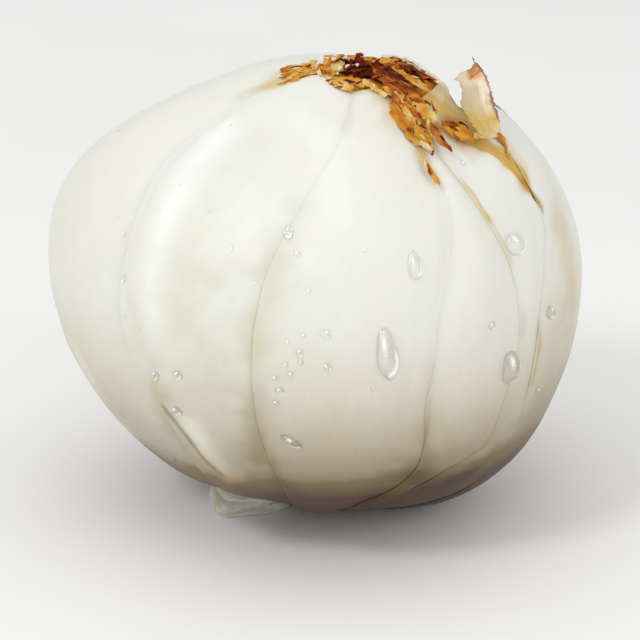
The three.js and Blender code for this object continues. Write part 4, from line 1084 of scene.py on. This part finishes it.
rng = np.random.default_rng(11)
for group in range(1, 6):
    heap = Heap()
    for k, (name, line) in enumerate(FLAKES.items()):
        if int(name[0]) == group:
            flake(heap, line, group * 40 + k)
    if group == 2:
        # pale crumbs and orange bits on the left of the dead heart
        for k in range(30):
            crumb(heap, -12.5 + rng.normal() * 2.2, -8 + rng.normal() * 3.6, rng.uniform(0.8, 2.0), rng.uniform(0.4, 1.0),
                  rng.choice([.95, .88, .8, .7, .5]), 500 + k)
    if group == 3:
        # dark cluster in the middle of the mouth
        for k in range(46):
            crumb(heap, -7 + rng.normal() * 2.0, -7.5 + rng.normal() * 3.2, rng.uniform(0.9, 2.6), rng.uniform(0.5, 1.1),
                  np.clip(rng.normal(0.09, 0.07), 0, 0.4), 600 + k)
        for k in range(26):
            crumb(heap, 1 + rng.normal() * 2.4, -9 + rng.normal() * 3.6, rng.uniform(0.9, 2.2), rng.uniform(0.5, 1.1),
                  np.clip(rng.normal(0.22, 0.12), 0, 0.6), 660 + k)
    # narrow strands that fan out to the left, down the front and to the right
    fans = {1: (26, (-11.5, -9.5), (1.6, 2.6), (-25.0, -12.5), (1.3, 5.0), (.45, .9)),
            4: (18, (1.5, -17.5), (2.6, 1.6), (8.5, -31.5), (2.4, 2.0), (.34, .72)),
            5: (8, (11.5, -24.3), (.8, .9), (19.5, -24.4), (1.2, .7), (.25, .6)),
            3: (12, (-4.0, -9.5), (2.2, 2.2), (5.0, -17.0), (2.2, 1.8), (.05, .4))}
    if group in fans:
        many, a, da, b, db, tones = fans[group]
        for k in range(many):
            p = np.array(a) + rng.uniform(-1, 1, 2) * da
            q = np.array(b) + rng.uniform(-1, 1, 2) * db
            s0, s1 = rng.uniform(0, 0.45), rng.uniform(0.6, 1.0)
            p, q = p + (q - p) * s0, p + (q - p) * s1
            w, tone, bow = rng.uniform(0.18, 0.5), rng.uniform(*tones), rng.normal() * 0.6
            n1 = np.array([-(q - p)[1], (q - p)[0]]) / (np.hypot(*(q - p)) + 1e-6)
            strand = [(*(p + (q - p) * u + n1 * bow * np.sin(np.pi * u)), 1.9 - 0.7 * u if group != 3 else 2.5, w * v, tone)
                      for u, v in ((0, .4), (.3, 1), (.65, .9), (1, .12))]
            if group in (4, 5):
                strand = [(x, y, h + 0.9, wd, tn) for x, y, h, wd, tn in strand]
            flake(heap, strand, 5000 + group * 100 + k, thick=0.08, ragged=0.3, crumple=0.10, n=30, m=7)
    # loose fibres along the strips
    lines = [line for name, line in FLAKES.items() if int(name[0]) == group]
    for k in range({1: 12, 2: 9, 3: 14, 4: 16, 5: 4}[group]):
        line = np.array(lines[rng.integers(len(lines))], float)
        s = rng.uniform(0, 0.8)
        at = np.array([np.interp(s, np.linspace(0, 1, len(line)), line[:, c]) for c in range(5)])
        to = np.array([np.interp(min(1, s + .3), np.linspace(0, 1, len(line)), line[:, c]) for c in range(5)])
        run = (to - at)[:2]
        run = run / (np.linalg.norm(run) + 1e-6)
        run = run + 0.28 * rng.normal(size=2)
        off = np.array([-run[1], run[0]]) * rng.uniform(-1, 1) * at[3] * 0.8
        long = rng.uniform(1.2, 3.0)
        wide = rng.uniform(0.10, 0.26)
        bow = rng.normal() * 0.35
        tone = np.clip(at[4] + rng.choice([-.3, -.2, .15, .25]), 0.02, 0.9)
        flake(heap, [(at[0] + off[0] + run[0] * long * q - run[1] * bow * np.sin(3.1 * q), at[1] + off[1] + run[1] * long * q + run[0] * bow * np.sin(3.1 * q),
                      at[2] + 0.15 + 0.15 * rng.uniform(0, 1) * np.sin(3.1 * q), wide * w, tone) for q, w in ((0, .3), (.35, 1), (.7, .9), (1, .15))],
              3000 + group * 100 + k, thick=0.10, ragged=0.2, crumple=0.06, n=16, m=5)
    if group == 4:
        for k in range(10):
            s = rng.uniform(0, 0.8)
            crumb(heap, 2.5 + 9 * s + rng.normal() * 1.0, -20 - 16 * s + rng.normal() * 1.0, rng.uniform(1.8, 2.4),
                  rng.uniform(0.3, 0.6), np.clip(rng.normal(0.45, 0.2), 0.1, 0.9), 700 + k)
    if group == 3:
        # papery pale rim standing along the right side of the mouth, brown underneath
        ribbon(heap, [(-1.2, 10.5), (1.2, 9.6), (2.6, 6.6), (3.6, 3.0), (4.8, 0.0), (6.4, -2.8), (8.4, -5.4), (10.4, -6.8)],
               [.2, .9, 1.3, 1.4, 1.3, 1.2, .9, .1], 0.3, 1.75, 981)
    heap.piece(f"dry_tip_{group}_fine", DRY, [f"dry_tip_{group}"])


def tone_at(x, y, points):
    """What the withered mouth looks like from place to place: orange on the left, pale crumbs, a dark heart, red-brown on the right."""
    t = 0.56 + 0 * x
    t = t + (0.84 - t) * np.exp(-(((x + 12.5) / 3.4) ** 2 + ((y + 8) / 6) ** 2))
    t = t + (0.06 - t) * np.exp(-(((x + 7) / 4.4) ** 4 + ((y + 6) / 7.5) ** 4))
    t = t + (0.24 - t) * 0.85 * np.exp(-(((x - 1.5) / 5.5) ** 4 + ((y + 9.5) / 9) ** 4))
    return t + 0.14 * waves(points, 2.6, 961)


def mat(heap):
    """The crumpled, felted tissue that closes the mouth round the dead stalk."""
    th, share = np.meshgrid(np.linspace(0, 360, 241), np.linspace(0.015, 1, 90), indexing="ij")
    al = share * Curve([0, 40, 80, 120, 160, 180, 205, 230, 262, 285, 310, 335, 360],
                       [13.5, 15, 18, 20, 21.5, 21.5, 21.5, 21.5, 21.5, 21.5, 18, 14.5, 13.5])(th)
    x, y = al * np.cos(th * RAD), al * np.sin(th * RAD)
    smooth = place(0.0, th, al)
    radial = np.stack([th * 0.22, al * 0.16, 0 * al], -1)
    streak = waves(radial, 2.0, 955)
    h = 0.1 + 0.40 * (1 - 2 * np.abs(waves(smooth, 4.2, 951))) + 0.20 * waves(smooth, 1.6, 952) + 0.12 * waves(smooth, 0.8, 953)
    h = h - 2.4 * ease((share - 0.72) / 0.28) + 0.5 * np.exp(-(((x + 7) / 4) ** 2 + ((y + 6) / 5) ** 2))
    top, low = place(h, th, al), place(h - 1.0, th, al)
    tone = np.clip(tone_at(x, y, smooth) + 0.08 * streak, 0, 1)
    two_sided(heap, top, low, tone=tone, grain=np.stack([th * 0.16, al * 0.72, 0 * al + 3], -1))


# the dead stalk with a rosette of withered strips round it that fills the mouth
STALK = [[-20, 2.4], [-8, 5.4], [8, 6.2], [20, 5.2], [27, 4.0], [31.5, 3.4], [33.2, 1.6]]
heap = Heap()
q = Curve([0, .1, .3, .6, .8, .95, 1], [s[0] for s in STALK])(np.linspace(0, 1, 60))
radius = Curve([s[0] for s in STALK], [s[1] for s in STALK])(q)
radius[[0, -1]] = 0.05
turn = np.linspace(0, 2 * np.pi, 49)
Q, T = np.meshgrid(q, turn, indexing="ij")
ribs = 1 + 0.05 * np.sin(9 * T + Q * 0.2) + 0.03 * np.sin(17 * T)
pts = MIDDLE + Q[..., None] * AXIS + (radius[:, None] * ribs * np.cos(T))[..., None] * SIDE_U + (radius[:, None] * ribs * np.sin(T))[..., None] * np.array([0, 1.0, 0])
heap.add(pts, [quads(60, 49)], tone=np.clip(0.18 + 0.1 * waves(pts, 2.5, 3), 0, 1).ravel(),
         grain=np.stack([T * 5, Q, 0 * Q], -1).reshape(-1, 3))
for k in range(30):
    a = 2 * np.pi * k / 30 + rng.uniform(-0.15, 0.15)
    far, w = rng.uniform(12, 17), rng.uniform(1.6, 3.0)
    near = rng.uniform(1.5, 6)
    tone = rng.choice([.12, .2, .3, .45, .6])
    pl = []
    for s in np.linspace(0, 1, 5):
        d = far + (near - far) * s
        pl.append((d * np.cos(a + 0.3 * s), d * np.sin(a + 0.3 * s), -9 + 9.5 * s ** 0.8, w * (1 - 0.55 * s), tone + 0.1 * s))
    flake(heap, pl, 900 + k, ragged=0.35, crumple=0.35, n=22, m=8)
mat(heap)
heap.piece("stalk_remnant_fine", DRY, ["stalk_remnant"])

# ---------------------------------------------------------------- torn flap
# rows from root to top: left x, up, through, right x, up, through (mm from the middle, broad plane)
FLAP = [
    [26.03, 22.99, -25.6, 27.99, 23.33, -24.4],
    [25.58, 23.47, -25.5, 28.16, 23.89, -24.2],
    [24.67, 24.42, -25.2, 28.50, 24.70, -23.8],
    [23.84, 25.69, -24.9, 28.54, 25.68, -23.3],
    [23.39, 26.49, -24.6, 28.41, 26.49, -23.0],
    [22.87, 27.45, -24.3, 28.15, 27.56, -22.4],
    [22.42, 28.33, -24.1, 27.86, 28.45, -22.1],
    [22.40, 29.05, -23.9, 27.62, 29.18, -21.8],
    [22.61, 30.01, -23.6, 27.42, 30.24, -21.4],
    [22.53, 30.98, -23.3, 27.17, 31.23, -21.0],
    [22.33, 31.87, -23.0, 26.88, 32.12, -20.7],
    [21.57, 32.36, -22.8, 26.74, 32.69, -20.5],
    [21.98, 32.95, -22.4, 26.60, 33.19, -20.3],
    [22.56, 33.43, -22.0, 26.45, 33.60, -20.1],
    [23.39, 33.98, -21.3, 26.32, 34.06, -19.8],
    [24.29, 34.35, -20.7, 26.19, 34.54, -19.5],
    [24.66, 34.93, -20.2, 25.74, 35.13, -19.2],
    [24.93, 35.52, -19.5, 25.28, 35.68, -18.9],
    [24.84, 36.03, -18.9, 25.02, 36.13, -18.6],
    [24.68, 36.55, -18.3, 24.74, 36.58, -18.3],
]
rows = np.array(FLAP)
kk = np.concatenate([[0], np.cumsum(np.hypot(np.diff((rows[:, 0] + rows[:, 3]) / 2), np.diff((rows[:, 1] + rows[:, 4]) / 2)))])
kk /= kk[-1]
tt = np.linspace(0, 1, 90)
cols = [Curve(kk, rows[:, c])(tt) for c in range(6)]
ss = np.linspace(0, 1, 46)
left = np.stack(cols[:3], -1)[:, None]
right = np.stack(cols[3:], -1)[:, None]
S, V = np.meshgrid(ss, tt)
flat = left + (right - left) * S[..., None]
wide = np.linalg.norm((right - left)[:, 0], axis=-1)[:, None]
ed = np.minimum(S, 1 - S) * wide
nib = 0.16 * waves(np.stack([V * 24, np.sign(S - 0.5) * 7], -1), 1.3, 41) + 0.08 * waves(np.stack([V * 24, np.sign(S - 0.5) * 7], -1), 0.5, 43)
flat[..., 0] += nib * ease(1 - ed / 0.8)
# the sheet is cupped, with a fold near its right side that stands forward
fold = np.clip((0.80 - 0.10 * (1 - V)), 0, 1)
depth = -1.3 * (2 * S - 1) ** 2 * np.minimum(1, wide / 4)
depth = depth - 0.85 * np.exp(-((S - fold) * wide / 0.85) ** 2) * ease(V / .15) * ease((0.86 - V) / .2)
depth = depth + 0.10 * waves(flat, 3.4, 45) + 0.02 * waves(flat, 1.1, 46)
flat[..., 2] += depth


def broad(p):
    return MIDDLE + p[..., :1] * BROAD_X + p[..., 1:2] * BROAD_UP + p[..., 2:3] * BROAD_THRU


back = broad(flat)
behind = flat.copy()
behind[..., 2] += 0.14 + 0.30 * ease(ed / 1.2) * ease((0.9 - V) / 0.6)
face = broad(behind)
stain = np.zeros(S.shape + (4,))
X, U = flat[..., 0], flat[..., 1]
rip = 0.5 + 0.5 * waves(flat, 1.1, 47)
fromright = (1 - S) * wide
stain[..., 2] += 1.0 * ease((0.5 - fromright) / 0.25) * ease((U - 25.3) / 1.2) * (0.5 + 0.5 * rip)
stain[..., 2] += 0.5 * ease(1 - ed / 0.22)
stain[..., 0] += 0.6 * ease((0.95 - fromright) / 0.35) * ease((U - 25) / 1.2) * rip
stain[..., 0] += 1.0 * np.exp(-(((X - 24.9) / 1.25) ** 4 + ((U - 33.6) / 1.15) ** 4))
stain[..., 0] += 0.85 * ease((U - 33.9) / 0.8)
stain[..., 2] += 0.6 * ease((U - 34.2) / 0.8) * rip
stain[..., 1] += 1.0 * ease((28.2 - U) / 2.6) + 0.4 * ease((30.6 - U) / 2.5) + 0.25 * ease(1 - S * wide / 0.8)
stain[..., 1] += 0.55 * np.exp(-((fromright - 1.15) / 0.3) ** 2) * ease((U - 26) / 1.5) * rip
stain[..., 3] += 0.85 * ease((U - 24) / 3) * ease((33 - U) / 2) * ease((fold - S) * wide / 0.9 - 0.2)
heap = Heap()
two_sided(heap, back, face, stain=np.clip(stain, 0, 1), grain=np.stack([S * wide, V * 15, 0 * V], -1))
heap.piece("torn_flap_fine", FLAP_SKIN, ["torn_flap"])


# ---------------------------------------------------------------- root plate
PLATE_RIM_AT = [-180, -172, -147, -127, -109, -90, -59, -31, 0, 31, 59, 89, 120, 157, 180]
PLATE_RIM = [168.9, 168.8, 168.6, 168.2, 168.6, 169.2, 169.3, 168.6, 167.7, 167, 166.3, 166.5, 167.3, 169, 168.9]
PLATE_FOOT_AT = [-180, -165, -151, -130, -112, -90, -60, -38, 0, 60, 120, 180]
PLATE_FOOT = [7.6, 7.8, 8.0, 9.2, 7.4, 6.2, 6.0, 6.4, 7.2, 8.2, 8.4, 7.6]
around = np.linspace(-180, 180, 361)
rim_po = Curve(PLATE_RIM_AT, PLATE_RIM)(around)
rim_pt = place(1.5, around, rim_po)
pole = place(1.5, 0, 179.9)
top_z = np.maximum(rim_pt[:, 2], 0.9)
reach = rim_pt[:, :2] - pole[:2]
far = np.linalg.norm(reach, axis=1)
foot = Curve(PLATE_FOOT_AT, PLATE_FOOT)(around)
rings, kinds = [], []
for k in (0.02, 0.3, 0.5, 0.7, 0.86, 0.965):
    rings.append(np.column_stack([pole[:2] + reach * (foot / far * k)[:, None], 0 * far]))
    kinds.append(0)
for z in np.linspace(0, 1, 26):
    w = ease(z)
    m = (foot * (1 - w) + 0.97 * far * w) / far * (1 - 0.03 * ease(1 - z / .12))
    rings.append(np.column_stack([pole[:2] + reach * m[:, None], top_z * (0.02 + 0.98 * z)]))
    kinds.append(1)
for h, po in [(1.5, 171.6), (-2, 172.8), (-10, 173), (-20, 173.2), (-27, 174), (-27.5, 179.8)]:
    p = place(h, around, np.maximum(po, rim_po) if h > 0 else po)
    p[:, 2] = np.maximum(p[:, 2], 0.9)
    rings.append(p)
    kinds.append(2)
P = np.stack(rings)
kinds = np.array(kinds)
SPOT = place(1.5, -142.0, 170.0) * [1.12, 1.12, 0] + [0, 0, 3.0]     # a yellow-green mark on its left side
out = unit(P - pole)
A = np.broadcast_to(around[None], P.shape[:2]) * RAD
ringed = np.stack([np.cos(A) * 7, np.sin(A) * 7, P[..., 2] * 5.5], -1)
layers = waves(ringed, 6.0, 301)
rough = waves(P, 1.6, 305) * 0.10 + waves(P, 0.8, 306) * 0.05
wall = (kinds == 1)[:, None]
push = np.where(wall, 0.26 * layers + rough, 0)
fade = np.ones(P.shape[:2])
fade[kinds == 0] = 0
P = P + (push * fade)[..., None] * np.stack([np.cos(A), np.sin(A), 0 * A], -1)
P[..., 2] = np.maximum(P[..., 2], 0)
# where the layers dip in: the grooves that get painted shade
groove = ease((0.0 - layers) / 0.9) * wall
tone = np.clip(0.5 * waves(P, 3.0, 309), 0, 0.5) + 0.8 * np.exp(-(np.linalg.norm(P - SPOT, axis=-1) / 1.5) ** 2)
heap = Heap()
heap.add(P, [quads(len(rings), 361)], tone=tone.ravel(), groove=groove.ravel() * np.ones(tone.size),
         grain=np.stack([A * 14, P[..., 2] * 2, 0 * A], -1).reshape(-1, 3))
heap.piece("root_plate_fine", PLATE, ["basal_plate"])


# ---------------------------------------------------------------- water drops
# azimuth, polar, width mm, length mm, turn degrees
DROPS = [
    (-77.5, 80.6, 3.33, 8.33, -20), (-44, 81.5, 4, 6, -10), (-45, 55, 4, 3.67, 0), (-75.5, 61.4, 2.33, 4.5, -25),
    (-30.8, 70.6, 3, 1.83, 35), (-53.2, 71.8, 1.67, 1.17, 0), (-106, 62.2, 1.67, 2.17, 0), (-102.2, 65.7, 1.17, 1, 0),
    (-90, 108.4, 3.67, 1.83, 20), (-136.6, 86.1, 1.17, 1.67, 0), (-117.5, 111.6, 2, 2, 0), (-122.8, 103.3, 1.33, 1.83, 0),
    (-118.2, 101.2, 1.5, 1.67, 0), (-98, 92.7, 1, 1, 0), (-96.2, 95.5, 1.33, 1.5, 0), (-96.2, 98.7, 1, 1, 0),
    (-96.8, 88.7, .83, 1, 0), (-95.2, 90.5, 1, 1, 0), (-94.8, 85.1, 1.17, 1.5, 0), (-94, 87, .83, 1, 0),
    (-97.8, 83.8, .67, .67, 0), (-95.2, 81.2, .67, .83, 0), (-91, 79.3, 1.67, 1.5, 30), (-88.5, 86.4, 1.17, 1.67, -30),
    (-78.2, 88.4, .67, .67, 0), (-58, 37.1, 1, 1, 0), (-133.2, 93.5, .83, 1, 0), (-128, 93.9, .67, .67, 0),
    (-128.5, 54.7, .67, .83, 0), (-125.2, 65, .67, .67, 0), (-116.2, 69.8, .67, .83, 0), (-134.8, 62.9, .67, .67, 0),
    (-137.5, 46.1, .67, .67, 0), (-172, 64.5, .67, .67, 0), (-108.2, 74.5, .83, .67, 0), (-97, 72, .67, .67, 0),
    (-87.5, 60.7, .83, .67, 0), (-29.5, 88.7, 1, 1.17, 0), (-126, 137.9, .83, 1.17, 0), (-142.2, 78.4, .83, .83, 0),
    (-146.2, 76.3, .67, .67, 0),
]


def top_height(az, po):
    """Height of the outermost scale at each place."""
    best = np.full(np.shape(az), -9.0)
    for i in range(10):
        for full in (-360, 0, 360):
            a = az + full
            L, R = outer.left(i, po), outer.right(i, po)
            share = (a - L) / (R - L)
            on = (share > 0) & (share < 1) & (po > outer.rim(i, share))
            h = outer.back(i, a, po)
            flat = place(h, a, po)
            wide = 0.72 * np.maximum(0.12, np.sin(po * RAD))
            edge, rim = (a - L) * wide, (po - outer.rim(i, share)) * 0.72
            h = h + relief(i, a, po, flat, edge, seam_of(outer, i, a, po), rim)
            best = np.where(on, np.maximum(best, h), best)
    return best


heap = Heap()
for k, (a0, p0, w, l, turn) in enumerate(DROPS):
    rng = np.random.default_rng(2000 + k)
    n, m = (40, 72) if max(w, l) > 1.8 else (18, 36)
    r = np.concatenate([np.linspace(0.02, 0.9, n - 8), 1 - 0.1 * (1 - np.linspace(0, 1, 9)[1:]) ** 2])
    t = np.linspace(0, 2 * np.pi, m + 1)
    Rr, T = np.meshgrid(r, t, indexing="ij")
    wob = 1 + 0.07 * np.sin(2 * T + k) + 0.06 * np.sin(3 * T + 2 * k) + 0.03 * np.sin(5 * T + k * k)
    u = Rr * wob * w / 2 * np.cos(T)
    v = Rr * wob * l / 2 * np.sin(T)
    c, s = np.cos(turn * RAD), np.sin(turn * RAD)
    u, v = u * c - v * s, u * s + v * c
    da = u / (0.72 * np.sin(p0 * RAD))
    dp = v / 0.72
    base = top_height(a0 + da, p0 + dp)
    # the drop bridges small steps under it
    form = np.stack([np.ones_like(u), u, v, u * u, u * v, v * v], -1).reshape(-1, 6)
    fit = (form @ np.linalg.lstsq(form, base.ravel(), rcond=None)[0]).reshape(base.shape)
    fit = fit + 0.6 * np.maximum(0, base - fit).max() * (1 - Rr ** 2)
    tall = 0.36 * min(w, l) * (1 + 0.12 * rng.uniform(-1, 1))
    # water sags: the lower part of a drop is fuller
    sag = 1 + 0.22 * np.clip(v / (l / 2), -1, 1)
    dome = tall * sag * (1 - Rr ** 2.3) ** 0.62
    up = place(fit + dome - 0.02, a0 + da, p0 + dp)
    down = place(np.minimum(base, fit) - 0.16, a0 + da, p0 + dp)
    # screen directions of the drop: right and up the bulb
    su, sv = Rr * np.cos(T + turn * RAD * 0), -Rr * np.sin(T)
    right_low = (0.75 * su - 0.66 * sv)
    # painted dark rim, heaviest at the lower right, and a painted grey patch near the top
    ring = ease((Rr - 0.84) / 0.14) * (0.10 + 0.75 * ease((right_low + 0.1) / 0.9))
    ring = ring + 0.30 * np.exp(-(((su - 0.25) / 0.4) ** 2 + ((sv - 0.35) / 0.35) ** 2))
    # painted gathered light in a crescent at the lower right and a painted highlight at the upper left; small drops get
    # only the painted highlight
    glow = np.exp(-(((Rr - 0.68) / 0.17) ** 2)) * ease((right_low - 0.20) / 0.35)
    glow = glow + 1.0 * np.exp(-(((su + 0.30) / 0.20) ** 2 + ((sv - 0.45) / 0.30) ** 2))
    if max(w, l) < 1.3:
        glow = np.exp(-(((su + 0.25) / 0.4) ** 2 + ((sv - 0.25) / 0.4) ** 2))
        ring = ring * 0.8
    ns, nt = up.shape[:2]
    pts = np.concatenate([up.reshape(-1, 3), down.reshape(-1, 3)])
    rim_ring = (ns - 1) * nt + np.arange(nt)
    wall = np.stack([rim_ring[:-1], rim_ring[1:], rim_ring[1:] + ns * nt, rim_ring[:-1] + ns * nt], 1)
    zero = np.zeros(ns * nt)
    heap.add(pts, [quads(ns, nt), quads(ns, nt, ns * nt, True), wall],
             ring=np.concatenate([np.clip(ring, 0, 1).ravel(), zero]), glow=np.concatenate([np.clip(glow, 0, 1).ravel(), zero]))
drops = heap.piece("water_drops", WATER)

# ---------------------------------------------------------------- floor, light, camera
bpy.ops.mesh.primitive_plane_add(size=6, location=(0, 0, -0.0002))
floor = bpy.context.object
floor.name = "floor"
floor.data.materials.append(floor_material())

world = bpy.data.worlds.new("soft_room")
bpy.context.scene.world = world
world.use_nodes = True
wn = world.node_tree.nodes
sky = wn.new("ShaderNodeTexCoord")
part = wn.new("ShaderNodeSeparateXYZ")
tint = wn.new("ShaderNodeValToRGB")
world.node_tree.links.new(sky.outputs["Generated"], part.inputs[0])
world.node_tree.links.new(part.outputs[2], tint.inputs[0])
world.node_tree.links.new(tint.outputs[0], wn["Background"].inputs[0])
tint.color_ramp.elements[0].position, tint.color_ramp.elements[0].color = 0.0, (0.60, 0.60, 0.60, 1)
tint.color_ramp.elements[1].position, tint.color_ramp.elements[1].color = 0.75, (1, 1, 1, 1)
wn["Background"].inputs[1].default_value = 0.90


def area(name, at, to, size, watts, colour=(1, 1, 1)):
    data = bpy.data.lights.new(name, "AREA")
    data.size = size
    data.energy = watts
    data.color = colour
    o = bpy.data.objects.new(name, data)
    bpy.context.scene.collection.objects.link(o)
    at, to = np.array(at, float), np.array(to, float)
    from mathutils import Vector
    o.location = at
    o.rotation_euler = Vector(to - at).to_track_quat("-Z", "Y").to_euler()
    return o


area("key", (-0.40, -0.40, 0.60), (0, 0, 0.035), 0.16, 1.32)
area("low", (-0.38, -0.60, 0.06), (-0.015, -0.02, 0.0), 0.2, 0.20)
area("fill", (0.6, -0.5, 0.35), (0, 0, 0.03), 0.6, 0.86, (1.0, 0.975, 0.94))

centre = np.array([0.3468, 0.3402, 36.4])
right, upward, inward = np.array([1.0, 0, 0]), np.array([0, sL, cL]), np.array([0, cL, -sL])
eye = centre + right * (4 / 6) - upward * (30 / 6) - inward * 355.56
cam = bpy.data.cameras.new("camera")
cam.lens, cam.sensor_width = 120, 36
cam.clip_start, cam.clip_end = 0.01, 20
camera = bpy.data.objects.new("camera", cam)
camera.location = eye / 1000
camera.rotation_euler = (70 * RAD, 0, 0)
bpy.context.scene.collection.objects.link(camera)
bpy.context.scene.camera = camera
bpy.context.scene.view_settings.view_transform = "Standard"
